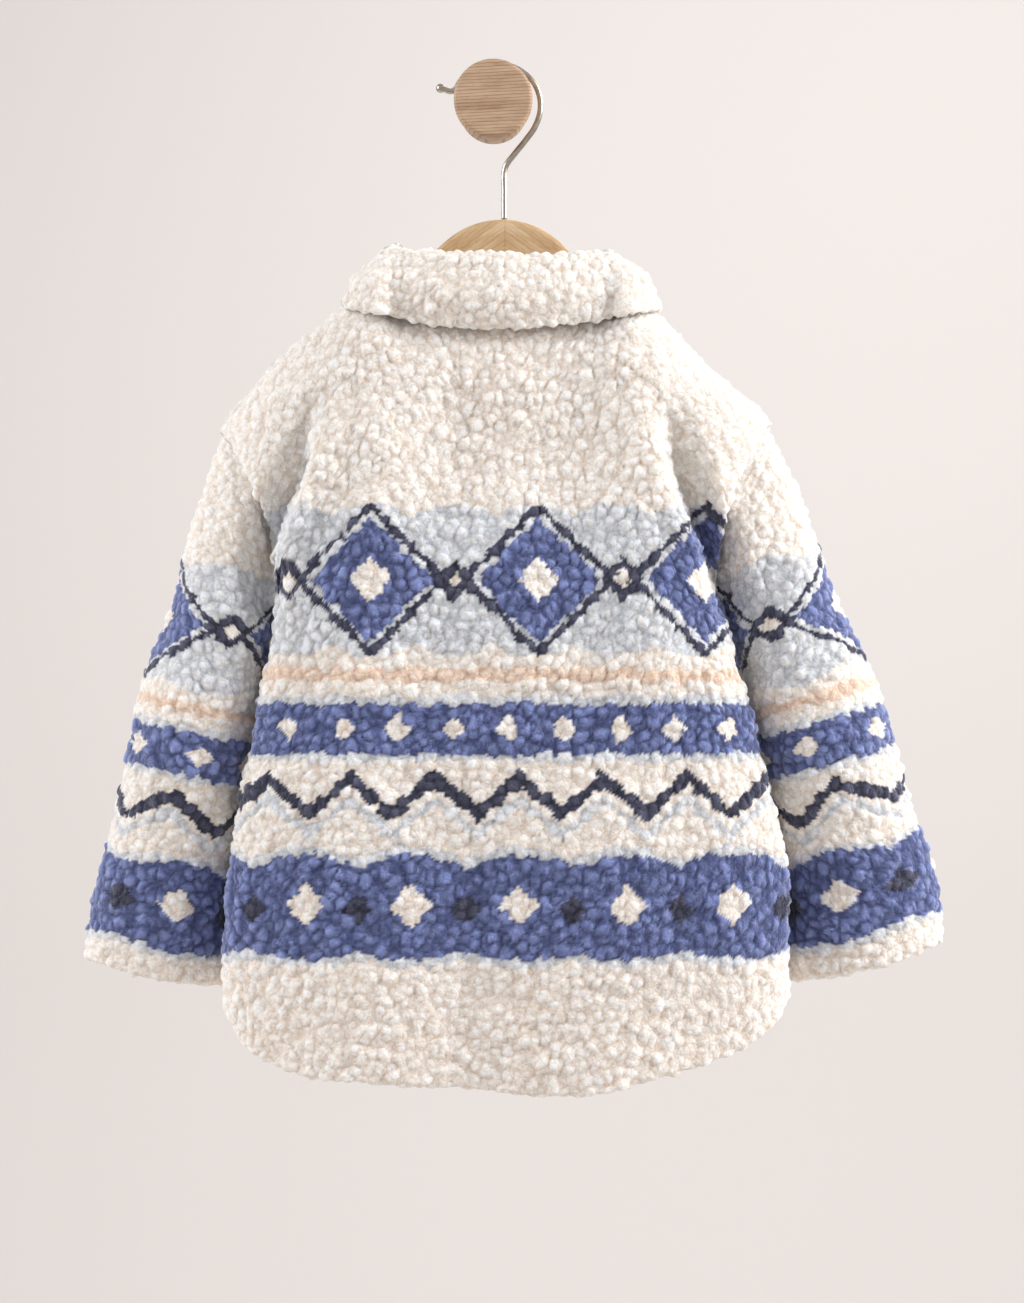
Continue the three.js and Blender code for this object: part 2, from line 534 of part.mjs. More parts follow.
function sleeveWall(name, colour, side) {
  const outer = [];
  const inner = [];
  const rings = 15;
  for (let i = 0; i < rings; i += 1) {
    const k = i / (rings - 1);
    const a = [];
    const b = [];
    for (let j = 0; j < 2 * ARM_STEPS; j += 1) {
      const angle = 180 * j / ARM_STEPS;
      const p = sleeve(side, k, angle);
      if (i === 0) p.addScaledVector(sleeve(side, 0.03, angle).sub(p).normalize(), SEAM / 2);
      a.push(p);
      b.push(p.clone().addScaledVector(sleeveNormal(side, k, angle), -WALL));
    }
    outer.push(a);
    inner.push(b);
  }
  return wall(name, colour, outer, inner, true);
}

// Collar: one leaf that rises from the neckline as a stand, folds and falls outside
function neckAt(turn) {
  const s = Math.sin(rad(turn));
  const c = Math.cos(rad(turn));
  const z0 = mix(SHOULDER_LEFT[0][1], SHOULDER_RIGHT[0][1], (1 + s) / 2);
  const [y, drop] = neckline(c >= 0 ? -1 : 1, Math.abs(c));
  return vec(NECK_X + NECK_HALF * s, y, z0 - drop);
}
function neckPoint(turn) {
  const d = neckAt(turn + 2).sub(neckAt(turn - 2));
  return { point: neckAt(turn), out: vec(d.y, -d.x, 0).normalize() };
}
function collarMiddle(turn) {
  const c = Math.cos(rad(turn));
  const { point, out } = neckPoint(turn);
  const share = Math.abs(c) ** 0.75;
  const ends = c >= 0 ? COLLAR_BACK : COLLAR_FRONT;
  const list = COLLAR_SIDE.map((side, i) => point.clone()
    .addScaledVector(out, mix(side[0], ends[i][0], share))
    .add(vec(0, 0, mix(side[1], ends[i][1], share))));
  const t = Math.abs(turn);
  list[0].z += FOOT_LIFT * Math.exp(-(((t - 116) / 16) ** 2));
  const face = t <= 90 ? -1 : 1;
  const edges = face < 0 ? FALL_EDGE : FALL_EDGE_FRONT;
  const sign = turn < 0 ? -1 : 1;
  const u = sign * along(edges, t, turn < 0 ? 1 : 2);
  const below = along(edges, t, 3);
  const top = topEdge(face, u);
  const v = 1 - below / (top.z - hemZ(face, u));
  const edge = panel(face, u, v).addScaledVector(panelNormal(face, u, v), FALL_LIFT);
  const turnOut = list[4];
  const bow = edge.clone().lerp(turnOut, 0.5);
  const lift = edge.clone().sub(turnOut);
  const bulge = out.clone().multiplyScalar(-lift.z).add(vec(0, 0, lift.dot(out))).normalize();
  bow.addScaledVector(bulge, along(FALL_BOW, t, turn < 0 ? 1 : 2));
  return [...list, bow, edge];
}
function collar(turn, q) {
  const list = collarMiddle(turn);
  const at = list.map((p, i) => [i / (list.length - 1), p.x, p.y, p.z]);
  return vec(along(at, q, 1), along(at, q, 2), along(at, q, 3));
}
function collarWall(name, colour) {
  const outer = [];
  const inner = [];
  const steps = 34;
  const rows = 15;
  for (let i = 0; i <= steps; i += 1) {
    const turn = mix(-COLLAR_END, COLLAR_END, i / steps);
    const a = [];
    const b = [];
    for (let j = 0; j <= rows; j += 1) {
      const q = j / rows;
      const p = collar(turn, q);
      const dt = collar(Math.min(turn + 0.5, COLLAR_END), q).sub(collar(Math.max(turn - 0.5, -COLLAR_END), q));
      const dq = collar(turn, Math.min(1, q + 0.004)).sub(collar(turn, Math.max(0, q - 0.004)));
      const n = dt.cross(dq).normalize();
      a.push(p.clone().addScaledVector(n, COLLAR_WALL / 2));
      b.push(p.clone().addScaledVector(n, -COLLAR_WALL / 2));
    }
    outer.push(a);
    inner.push(b);
  }
  return wall(name, colour, outer, inner);
}

// Hanger: rounded sections from arm end to arm end
function hangerTop(x) {
  const turn = HANGER_ARCH * Math.sin(rad(HANGER_SLOPE));
  const a = Math.abs(x);
  if (a < turn) return -(HANGER_ARCH - Math.sqrt(HANGER_ARCH ** 2 - a * a));
  return -HANGER_ARCH * (1 - Math.cos(rad(HANGER_SLOPE))) - (a - turn) * Math.tan(rad(HANGER_SLOPE));
}
function hangerSolid() {
  const rings = [];
  const stations = [];
  for (let i = -13; i <= 13; i += 1) stations.push(HANGER_HALF * i / 13);
  for (const x of [-1, 1]) stations.push(x * (HANGER_HALF - 1.2), x * (HANGER_HALF - 4));
  stations.sort((a, b) => a - b);
  for (const x of stations) {
    const arm = soft((Math.abs(x) - 12) / 40);
    const tall = mix(HANGER_TALL + 3, HANGER_TALL / Math.cos(rad(HANGER_SLOPE)), arm);
    const end = Math.sqrt(Math.max(0.02, 1 - clamp((Math.abs(x) - HANGER_HALF + 9) / 9) ** 2));
    const top = hangerTop(x);
    const half = tall / 2 * mix(0.25, 1, end);
    const edge = Math.min(HANGER_EDGE, half * 0.9);
    const thick = HANGER_THICK / 2 * mix(0.55, 1, end);
    const ring = [];
    for (const [sy, sz, from] of [[1, 1, 0], [-1, 1, 90], [-1, -1, 180], [1, -1, 270]]) {
      for (const a of [0, 45, 90]) {
        const t = rad(from + a);
        ring.push(vec(x, sy * (thick - HANGER_EDGE * 0.9) + HANGER_EDGE * 0.9 * Math.cos(t),
          top - tall / 2 + sz * (half - edge) + edge * Math.sin(t)));
      }
    }
    rings.push(ring);
  }
  for (const ring of rings) {
    for (const p of ring) {
      p.applyAxisAngle(vec(0, 1, 0), rad(HANGER_TILT));
      p.add(vec(HANGER_X, HANG_Y, HANGER_TOP));
    }
  }
  return loft('hanger', 0xd9b483, rings);
}
// Hook: a round wire along its middle line, widening to the ball at its tip
function hookSolid() {
  const pts = WIRE_PATH.map(([x, z]) => vec(x, HANG_Y, z));
  const curve = new THREE.CatmullRomCurve3(pts, false, 'centripetal');
  const n = 44;
  const rings = [];
  const ring = (p, dir, r) => {
    const side = dir.clone().cross(vec(0, 1, 0)).normalize();
    const list = [];
    for (let j = 0; j < 10; j += 1) {
      const a = rad(36 * j);
      list.push(p.clone().addScaledVector(side, r * Math.cos(a)).add(vec(0, r * Math.sin(a), 0)));
    }
    rings.push(list);
  };
  for (let i = 0; i <= n; i += 1) ring(curve.getPointAt(i / n), curve.getTangentAt(i / n), WIRE_R);
  const end = curve.getPointAt(1);
  const dir = curve.getTangentAt(1);
  for (const [step, r] of [[0.6, 2.1], [1.9, TIP_R], [3.4, 2.2], [4.4, 1.1]]) {
    ring(end.clone().addScaledVector(dir, step), dir, r);
  }
  return loft('hook', 0xc9c7c2, rings);
}
function pegSolid() {
  const e = PEG_EDGE;
  const arc = (cx, cy, r, from, to) => [0, 1, 2, 3].map((i) => {
    const t = rad(mix(from, to, i / 3));
    return [cx + r * Math.cos(t), cy + r * Math.sin(t)];
  });
  // profile: radius and height above the wall
  const profile = [[0, 0], [PEG_NECK_R, 0], [PEG_NECK_R, -PEG_DISC_Y - 0.6], [PEG_NECK_R + 0.6, -PEG_DISC_Y],
    ...arc(PEG_R - 1, -PEG_DISC_Y + 1, 1, -90, 0), ...arc(PEG_R - e, -PEG_FACE_Y - e, e, 0, 90),
    [0, -PEG_FACE_Y]];
  const turns = 48;
  const rings = profile.slice(1, -1).map(([r, h]) => {
    const list = [];
    for (let j = 0; j < turns; j += 1) {
      const a = 2 * Math.PI * j / turns;
      list.push(vec(r * Math.cos(a), -h, r * Math.sin(a)));
    }
    return list;
  });
  return loft('peg', 0xe0c8a4, rings);
}
function buttonSolid(i) {
  const z = BUTTON_Z[i];
  let front = -100;
  let x = 0;
  for (const dz of [-BUTTON_R, 0, BUTTON_R]) {
    for (const du of [-0.03, 0, 0.03]) {
      const v = (z + dz - hemZ(1, du)) / (topEdge(1, du).z - hemZ(1, du));
      const p = panel(1, du, v);
      front = Math.max(front, p.y);
      if (du === 0 && dz === 0) x = p.x;
    }
  }
  const list = [[0.01, 0.9], [0.5, 1], [BUTTON_THICK - 0.7, 1], [BUTTON_THICK, 0.88]].map(([h, s]) => {
    const ring = [];
    for (let j = 0; j < 20; j += 1) {
      const a = 2 * Math.PI * j / 20;
      ring.push(vec(x + BUTTON_R * s * Math.cos(a), front + 0.3 + h, z + BUTTON_R * s * Math.sin(a)));
    }
    return ring;
  });
  return loft(`button_${i + 1}`, 0xe9e1d4, list);
}

const group = new THREE.Group();
group.name = 'fleece_jacket';
group.add(panelWall('back', 0xefe7da, -1, backShares));
group.add(panelWall('front_left', 0xece3d6, 1, overShares));
group.add(panelWall('front_right', 0xe8dfd2, 1, underShares, lapSetIn));
group.add(sleeveWall('sleeve_left', 0xe4dccf, 'left'));
group.add(sleeveWall('sleeve_right', 0xe4dccf, 'right'));
group.add(collarWall('collar', 0xf3ece1));
for (let i = 0; i < BUTTON_Z.length; i += 1) group.add(buttonSolid(i));
group.add(hangerSolid());
group.add(hookSolid());
group.add(pegSolid());
export default group;
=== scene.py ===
import bpy
import numpy as np
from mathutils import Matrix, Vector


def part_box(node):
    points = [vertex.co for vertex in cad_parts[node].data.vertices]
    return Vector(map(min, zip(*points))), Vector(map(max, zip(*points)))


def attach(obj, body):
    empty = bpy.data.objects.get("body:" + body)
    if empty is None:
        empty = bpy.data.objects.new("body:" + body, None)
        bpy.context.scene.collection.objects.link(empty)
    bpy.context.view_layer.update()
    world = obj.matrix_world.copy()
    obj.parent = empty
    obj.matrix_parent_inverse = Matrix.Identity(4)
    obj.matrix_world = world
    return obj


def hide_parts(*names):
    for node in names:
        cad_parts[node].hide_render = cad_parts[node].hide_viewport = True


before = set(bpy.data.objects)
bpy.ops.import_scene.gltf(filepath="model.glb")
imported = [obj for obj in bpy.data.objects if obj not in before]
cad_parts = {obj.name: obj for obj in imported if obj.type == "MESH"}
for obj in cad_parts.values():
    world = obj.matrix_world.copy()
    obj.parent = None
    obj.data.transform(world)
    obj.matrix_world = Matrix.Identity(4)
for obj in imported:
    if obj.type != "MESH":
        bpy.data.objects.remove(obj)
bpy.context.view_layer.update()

bl_info = {
    "name": "Fleece jacket",
    "version": (1, 0, 0),
    "blender": (4, 5, 0),
    "location": "View3D > Sidebar > Jacket",
    "description": "A child's curly fleece jacket on a wooden hanger over a round wall peg",
    "category": "Object",
}

MM = 0.001

# Sizes of the solids, in millimetres: +Z up, +X right in the view of the back, +Y into the wall
WALL = 7.0
COLLAR_WALL = 5.5
SEAM = 0.4
HANG_Y = -30.0
NECK_X = 4.5
NECK_HALF = 65.0
NECK_BACK_DEEP = 30.0
NECK_FRONT_DEEP = 15.5
NECK_BACK_DROP = 22.5
NECK_FRONT_DROP = 54.0
COLUMN_Z = -176.0
# shoulder seam from neck point to shoulder tip: x, z
SHOULDER_LEFT = [[-60.5, -94.6], [-72, -103.4], [-83.6, -112.3], [-93.3, -119.2], [-104.1, -127.6],
                 [-114.8, -137], [-125.6, -147.6], [-136.4, -161.2], [-146, -178]]
SHOULDER_RIGHT = [[69.5, -96.6], [80, -106.4], [92.4, -117.8], [100.5, -127], [111.2, -137.6],
                  [122, -147], [132.7, -155.4], [140.8, -163.8], [147.8, -174]]
# armhole: shoulder tip and underarm point, left then right
TIP = [[-146, -178], [147.8, -174]]
UNDER = [[-111.6, -269], [117.8, -267]]
UNDER_Y = -46.0
ARMHOLE_DEEP = 26.0
ARMHOLE_SCOOP = 9.0
SEAM_RIDGE = 2.0
UNDERARM_TUCK = 2.4
ARMHOLE_FROM = 0.688
# torso: height, middle, half width, depth of the back and of the front from the widest line
WIDEST_Y = -66.0
TORSO = [
    [-110, -2.4, 88, 6, 52], [-152.6, -2.9, 88.5, 6, 52], [-173.7, -1.9, 92.8, 9, 52],
    [-194.8, -1.6, 96.2, 13, 52], [-216, -0.6, 103.6, 18, 53], [-237.1, -0.4, 110.2, 22, 54],
    [-258.2, 1.2, 115.2, 24, 56], [-279.4, 4.0, 119.7, 26, 58], [-300.5, 5.3, 124.2, 27, 58],
    [-321.6, 5.8, 130, 28, 58], [-342.8, 5.9, 134.2, 29, 58], [-363.9, 6.5, 139, 30, 58],
    [-385, 7.3, 143.4, 31, 58], [-406.2, 7.8, 147.4, 32, 58], [-427.3, 7.7, 149.6, 33, 58],
    [-459, 7.1, 150.1, 34, 58], [-480.1, 7.1, 149.4, 34, 58], [-530, 7.1, 148, 34, 58],
]
SECTION_BACK = 2.4
SECTION_FRONT = 2.2
SIDE_ANGLE = 104.0
CHEST_Y = -13.5
CHEST_Z = [-250.0, -185.0]
HEM_BACK = [[-143, -484], [-140.1, -489], [-134.9, -500], [-121.8, -510.8], [-100.9, -517.6],
            [-79.9, -520.7], [-48.6, -522.8], [-27.6, -522.6], [-6.7, -524.4], [14.2, -527.4],
            [35.1, -528.4], [50.8, -527.4], [66.5, -523.8], [87.5, -519.1], [108.4, -513.4],
            [129.3, -505.5], [147.6, -494], [155.5, -482]]
HEM_FRONT_MIDDLE = -512.0
FRONT_SOFT = -9.0
WALL_ROOM = 6.0
ROLL_BACK = 48.0
ROLL_FRONT = 20.0
LAP = 0.09
LAP_STEP = WALL + 0.8
# folds: x at the top and the bottom, height of the top and bottom, half width, height
FOLDS_BACK = [
    [-62, -72, -160, -330, 17, 5.0], [78, 84, -160, -330, 16, 5.0], [-18, -30, -150, -300, 15, -3.4],
    [46, 40, -160, -290, 13, -3.0], [12, 8, -150, -260, 12, 2.2], [-78, -74, -330, -560, 32, 4.0],
    [-9, -14, -400, -560, 14, -5.5], [58, 64, -360, -560, 34, 4.5], [-118, -112, -250, -400, 12, 2.5],
    [118, 124, -300, -470, 12, 3.0], [-44, -100, -225, -330, 11, -2.4], [92, 30, -235, -330, 11, -2.2],
]
FOLDS_FRONT = [
    [-52, -66, -170, -420, 18, 2.4], [64, 76, -180, -430, 18, 2.4], [-30, -40, -380, -560, 15, -3.6],
    [48, 60, -370, -560, 15, -3.4], [-84, -96, -300, -540, 16, -3.0], [92, 104, -300, -540, 16, -3.0],
]
# sleeves: outer edge x and z, height of the inner edge, half the depth, ring by ring
SLEEVES = [
    [[-150.8, -193.4, -281, 29], [-157.2, -213, -293, 32], [-163.6, -233, -306, 34],
     [-170.2, -256, -320, 35], [-177.6, -281, -336, 35], [-186.4, -308, -353, 34.5],
     [-193.6, -336, -371, 33.5], [-200.6, -366, -391, 32], [-207.2, -395, -412, 30.5],
     [-213, -421, -434, 29], [-217.2, -443, -456, 27.5], [-218.4, -459.5, -474.5, 26.5]],
    [[154.8, -190, -279, 29], [164.6, -210, -291, 32], [172.4, -231, -304, 34],
     [181, -254, -318, 35], [190.8, -279, -334, 35], [201.6, -306, -351, 34.5],
     [211.6, -334, -369, 33.5], [221.2, -364, -389, 32], [230, -392, -410, 30.5],
     [236.8, -416, -432, 29], [240.8, -436, -454, 27.5], [241.8, -450, -472, 26.5]],
]
SLEEVE_Y = -40.0
SLEEVE_OFF_BODY = 1.6
UNDERARM_CLEAR = 2.2
CUFF_SAG = 3.0
# folds across a sleeve: place along it, half width along it, angle round it, half width round it, height
SLEEVE_FOLDS = [[0.20, 0.07, 70, 55, -3.0], [0.36, 0.06, 35, 60, -2.4], [0.55, 0.08, 80, 60, 2.2],
                [0.70, 0.07, 50, 55, -2.2], [0.30, 0.08, 290, 60, -2.4], [0.62, 0.08, 280, 60, -2.0]]
# collar across the neckline: outward and up from it, for foot, stand, inner turn, crown, outer turn
COLLAR_BACK = [[-3.0, 3.6], [-4.4, 14], [-3.6, 25.5], [1.0, 31.0], [5.8, 26.5]]
COLLAR_SIDE = [[-4.4, 3.4], [-9.2, 7.0], [-13.0, 9.6], [-12.0, 14.0], [-5.4, 13.8]]
COLLAR_FRONT = [[-3.0, 6.4], [-4.0, 11], [-3.2, 16], [0.2, 19.6], [4.4, 16]]
# edge of the fall: angle round the neck, share across the panel left and right; then its height on the
# back, its distance below the seam on the front
FALL_EDGE = [[0, -0.05, 0.05, -126.5], [18, 0.14, 0.25, -126], [36, 0.30, 0.42, -124.2],
             [52, 0.475, 0.585, -121.5], [66, 0.61, 0.685, -119], [78, 0.655, 0.71, -117.6],
             [90, 0.665, 0.718, -117.6]]
FALL_EDGE_FRONT = [[90, 0.665, 0.718, 4], [102, 0.675, 0.718, 8], [118, 0.645, 0.69, 14],
                   [136, 0.565, 0.632, 20], [152, 0.37, 0.50, 27], [168, 0.16, 0.29, 34]]
FOOT_LIFT = 2.4
COLLAR_END = 168.0
FALL_LIFT = 3.6
FALL_BOW = [[0, 4.4, 4.4], [50, 5.6, 5.0], [64, 7.0, 6.2], [78, 4.8, 4.8], [90, 3.4, 3.6],
            [104, 3.2, 3.4], [120, 4.6, 4.6], [136, 6, 6], [168, 5, 5]]
BUTTON_R = 8.5
BUTTON_Z = [-196.0, -260.0, -324.0, -388.0, -452.0]
HANGER_X = 6.3
HANGER_TOP = -63.5
HANGER_ARCH = 46.0
HANGER_SLOPE = 44.0
HANGER_TILT = 1.7
HANGER_HALF = 118.0
HANGER_THICK = 10.6
HANGER_TALL = 23.0
HANGER_EDGE = 4.2
WIRE_R = 1.6
WIRE_PATH = [[5.9, -63.1], [5.9, -48], [5.9, -38], [7.2, -33.6], [10.6, -29], [17.2, -20.8],
             [22.6, -13], [25.3, -4.5], [24.8, 3.6], [21.2, 11.2], [15.2, 16.6], [8, 19.8],
             [0, 20.6], [-8, 19.4], [-14.4, 15.4], [-18.2, 10.4], [-20.4, 6.8], [-22.8, 5.7],
             [-26, 6.6]]
TIP_R = 2.5
PEG_NECK_R = 18.6
PEG_R = 21.1
PEG_DISC_Y = -33.0
PEG_FACE_Y = -46.0
PEG_EDGE = 2.2

# Valleys where the back's edges stand before the sleeves: z, x and depth down each line, then how wide
# the steep and the gentle side are; hollow between the shoulders: x, z, half width, half height, depth
VALLEYS = [
    [[-156, -90, 0], [-183.7, -95.1, 13], [-205.4, -99.9, 20], [-225.5, -107, 23], [-240, -111.5, 21],
     [-268, -116, 12]],
    [[-154, 83, 0], [-180, 88, 10], [-196, 92, 15], [-220, 100, 20], [-242, 108.3, 23], [-268, 117, 14]],
]
VALLEY_STEEP = 6.5
VALLEY_WIDE = 24.0
HOLLOW = [8.0, -190.0, 46.0, 70.0, 8.0]

# Start of the hem's roll as a share up the panel, and rings of that roll
HEM_START = 0.009
ROLL_STEPS = 9
# Pile: depth of its foot below the solid's face, and height of a curl
PILE_FOOT = 3.4
PILE_HIGH = 4.8
# How far curls are bent and lifted out of line, each with the size of that unevenness
CURL_BEND, CURL_BEND_SIZE = 1.7, 3.9
CLUMP_SIZE = 17.0
UNEVEN, UNEVEN_SIZE = 0.9, 34.0
FRINGE, FRINGE_SIZE = 0.7, 2.3
PATCH_SIZE = 60.0
# Painted shade at the foot and painted light at the top of a curl, as a share of its band's colour
CREVICE_SHADE_BLUES, CREVICE_SHADE_PALE_BLUE, CREVICE_SHADE_CREAM = (0.40, 0.40, 0.47), (0.80, 0.81, 0.82), (0.915, 0.86, 0.80)
TOP_LIGHT_BLUES, TOP_LIGHT_PALE = (1.40, 1.34, 1.20), 1.02
# Points across and up each visible side, and how much thinner the inner side is set
BACK_GRID, FRONT_GRID, SLEEVE_GRID, COLLAR_GRID = (268, 344), (150, 230), (170, 272), (380, 92)
INNER_EASE = 0.2
CREASE_ROUNDS = 70
# Pattern: height where the yoke ends, and on a sleeve its width, start across, stretch and start down
YOKE_Z = -220.0
SLEEVE_PATTERN = (176, 21, 1.15, 34)
# Camera: focal length and picture height in pixels, sensor width in millimetres, place in metres
LENS_PIXELS, PICTURE_HIGH, SENSOR = 3660.38, 1303, 36.0
CAMERA_X, CAMERA_Z = 0.01004, -0.29574


# ---- curves and surfaces of the cloth ----

def mix(a, b, t):
    """Straight mix of a and b at share t."""
    return a + (b - a) * t


def soft(t):
    """Smooth step from 0 to 1."""
    c = np.clip(t, 0.0, 1.0)
    return c * c * (3 - 2 * c)


def unit(v):
    """Vectors of length one along the last axis."""
    return v / np.maximum(np.linalg.norm(v, axis=-1, keepdims=True), 1e-9)


def along(table, x, c=1):
    """Smooth curve through a table's rows: the value of column c at x in column 0, held past both ends."""
    rows = np.array(sorted(table), float)
    xs, ys = rows[:, 0], rows[:, c]
    slope = np.empty(len(xs))
    slope[1:-1] = (ys[2:] - ys[:-2]) / (xs[2:] - xs[:-2])
    slope[0] = (ys[1] - ys[0]) / (xs[1] - xs[0])
    slope[-1] = (ys[-1] - ys[-2]) / (xs[-1] - xs[-2])
    x = np.clip(np.asarray(x, float), xs[0], xs[-1])
    i = np.clip(np.searchsorted(xs, x, side="left") - 1, 0, len(xs) - 2)
    h = xs[i + 1] - xs[i]
    t = (x - xs[i]) / h
    t2, t3 = t * t, t * t * t
    return ((2 * t3 - 3 * t2 + 1) * ys[i] + (t3 - 2 * t2 + t) * h * slope[i]
            + (3 * t2 - 2 * t3) * ys[i + 1] + (t3 - t2) * h * slope[i + 1])


def section(angle):
    """Rounded section of the torso at an angle from the middle of the back: unit width, unit depth."""
    s, k = np.sin(np.radians(angle)), np.cos(np.radians(angle))
    e = np.where(k >= 0, 2 / SECTION_BACK, 2 / SECTION_FRONT)
    return np.sign(s) * np.abs(s) ** e, -np.sign(k) * np.abs(k) ** e


def even_angles(start, end):
    """Angle for an even share of the way round a panel, from lengths round a middling section."""
    angle = np.linspace(start, end, 401)
    sx, sy = section(angle)
    p = np.stack([125 * sx, np.where(sy < 0, 28, 58) * sy], 1)
    lengths = np.concatenate([[0], np.cumsum(np.linalg.norm(np.diff(p, axis=0), axis=1))])
    return lambda share: np.interp(np.clip(share, 0, 1) * lengths[-1], lengths, angle)


BACK_ANGLE = even_angles(0, SIDE_ANGLE)
FRONT_ANGLE = even_angles(180, SIDE_ANGLE)


def by_side(sign, pair, item):
    """One number of a left and right pair of rows, by the sign of the side."""
    return np.where(sign < 0, float(pair[0][item]), float(pair[1][item]))


def armhole(sign, c, face, ease):
    """Seam loop from underarm (c -1) to shoulder tip (c 1): a bowed line that swells front and back."""
    s = np.maximum(0.0, 1 - c * c) ** ease
    m = (1 + c) / 2
    x = mix(by_side(sign, UNDER, 0), by_side(sign, TIP, 0), m) - sign * ARMHOLE_SCOOP * (1 - c * c)
    y = mix(UNDER_Y, HANG_Y, m) + face * ARMHOLE_DEEP * s
    return x, y, mix(by_side(sign, UNDER, 1), by_side(sign, TIP, 1), m)


def armhole_normal(sign, c, face):
    """Direction of the wall at the armhole, the same for panel and sleeve."""
    s = np.sqrt(np.maximum(0.0, 1 - c * c))
    up, down = np.maximum(c, 0), np.maximum(-c, 0)
    return unit(np.stack([sign * (0.86 * up + 0.27 * down), face * s, 0.51 * up - 0.96 * down], -1))


def fold_height(folds, x, z):
    """Sum of soft ridges and troughs, each along a straight line, with a bell section and soft ends."""
    total = np.zeros(np.broadcast(x, z).shape)
    for x0, x1, z0, z1, wide, high in folds:
        t = (z0 - z) / (z0 - z1)
        ends = soft((t + 0.15) / 0.3) * soft((1.15 - t) / 0.3)
        d = (x - mix(x0, x1, np.clip(t, 0, 1))) / wide
        total += high * ends * np.exp(-d * d)
    return total


def blank(face, u, z):
    """The plain torso at share u across the panel and height z: x and y of the rounded section."""
    zc = np.minimum(z, COLUMN_Z)
    sx, sy = section(BACK_ANGLE(np.abs(u)) if face < 0 else FRONT_ANGLE(np.abs(u)))
    x = along(TORSO, zc, 1) + np.sign(u) * along(TORSO, zc, 2) * sx
    y = WIDEST_Y + np.where(sy < 0, along(TORSO, z, 3), along(TORSO, z, 4)) * sy
    if face > 0:
        y = mix(y, CHEST_Y, soft((z - CHEST_Z[0]) / (CHEST_Z[1] - CHEST_Z[0])))
    return x, y


def edge_blend(face, u):
    """How much a column follows the side edge: 0 in the middle of the panel, 1 at the edge."""
    start = 0.62 if face < 0 else 0.55
    return soft((np.abs(u) - start) / (1 - start))


def side_of(u):
    """Sign of the side, left for the middle's left."""
    return np.where(u < 0, -1.0, 1.0)


def top_x(face, u):
    """x of a column at the top edge."""
    sign = side_of(u)
    shift = by_side(sign, TIP, 0) - blank(face, sign, 0.0)[0]
    return blank(face, u, 0.0)[0] + edge_blend(face, u) * shift


def neckline(face, c):
    """Neckline at a share of the neck's depth: y, and how far below the neck points."""
    if face < 0:
        return HANG_Y - NECK_BACK_DEEP * c, NECK_BACK_DROP * c
    return HANG_Y + NECK_FRONT_DEEP * soft(c / 0.35), NECK_FRONT_DROP * c ** 1.8


def top_edge(face, u):
    """Top edge of a column: neckline inside the neck points, shoulder seam outside them."""
    x = top_x(face, u)
    e = (x - NECK_X) / NECK_HALF
    c = np.sqrt(np.maximum(0.0, 1 - e * e))
    y, drop = neckline(face, c)
    z0 = mix(SHOULDER_LEFT[0][1], SHOULDER_RIGHT[0][1], (1 + e) / 2)
    out = np.abs(e) >= 1
    seam = np.where(x < 0, along(SHOULDER_LEFT, x), along(SHOULDER_RIGHT, x))
    return x, np.where(out, HANG_Y, y), np.where(out, seam, z0 - drop), np.where(out, 0, soft(c / 0.7)), c


def hem_z(face, u):
    """Height of the hem at share u across the panel."""
    sign = side_of(u)
    side = (by_side(sign, UNDER, 1) - ARMHOLE_FROM * by_side(sign, TIP, 1)) / (1 - ARMHOLE_FROM)
    if face > 0:
        return mix(side, HEM_FRONT_MIDDLE, soft((1 - np.abs(u)) / 0.42))
    x = blank(face, u, -500.0)[0]
    outside = np.clip((BACK_ANGLE(np.abs(u)) - 84) / (SIDE_ANGLE - 84), 0, 1)
    return mix(along(HEM_BACK, x), side, outside * outside * (3 - 2 * outside))


def valley(x, z):
    """Depth of the two valleys at x and z: a steep fall beside the back's edge line and a long rise to the
    sleeve, with a shallow hollow between the shoulders."""
    depth = HOLLOW[4] * np.exp(-((x - HOLLOW[0]) / HOLLOW[2]) ** 2 - ((z - HOLLOW[1]) / HOLLOW[3]) ** 2)
    for sign, rows in zip((-1, 1), VALLEYS):
        d = sign * (x - along(rows, z, 1))
        fall = soft((d + 1.5) / VALLEY_STEEP) * (1 - soft((d - 3) / VALLEY_WIDE))
        ridge = np.exp(-((d + 7) / 7) ** 2)
        deep = along(rows, z, 2) * soft((z + 284) / 16)
        depth = depth + deep * (fall - 0.22 * ridge)
    return depth


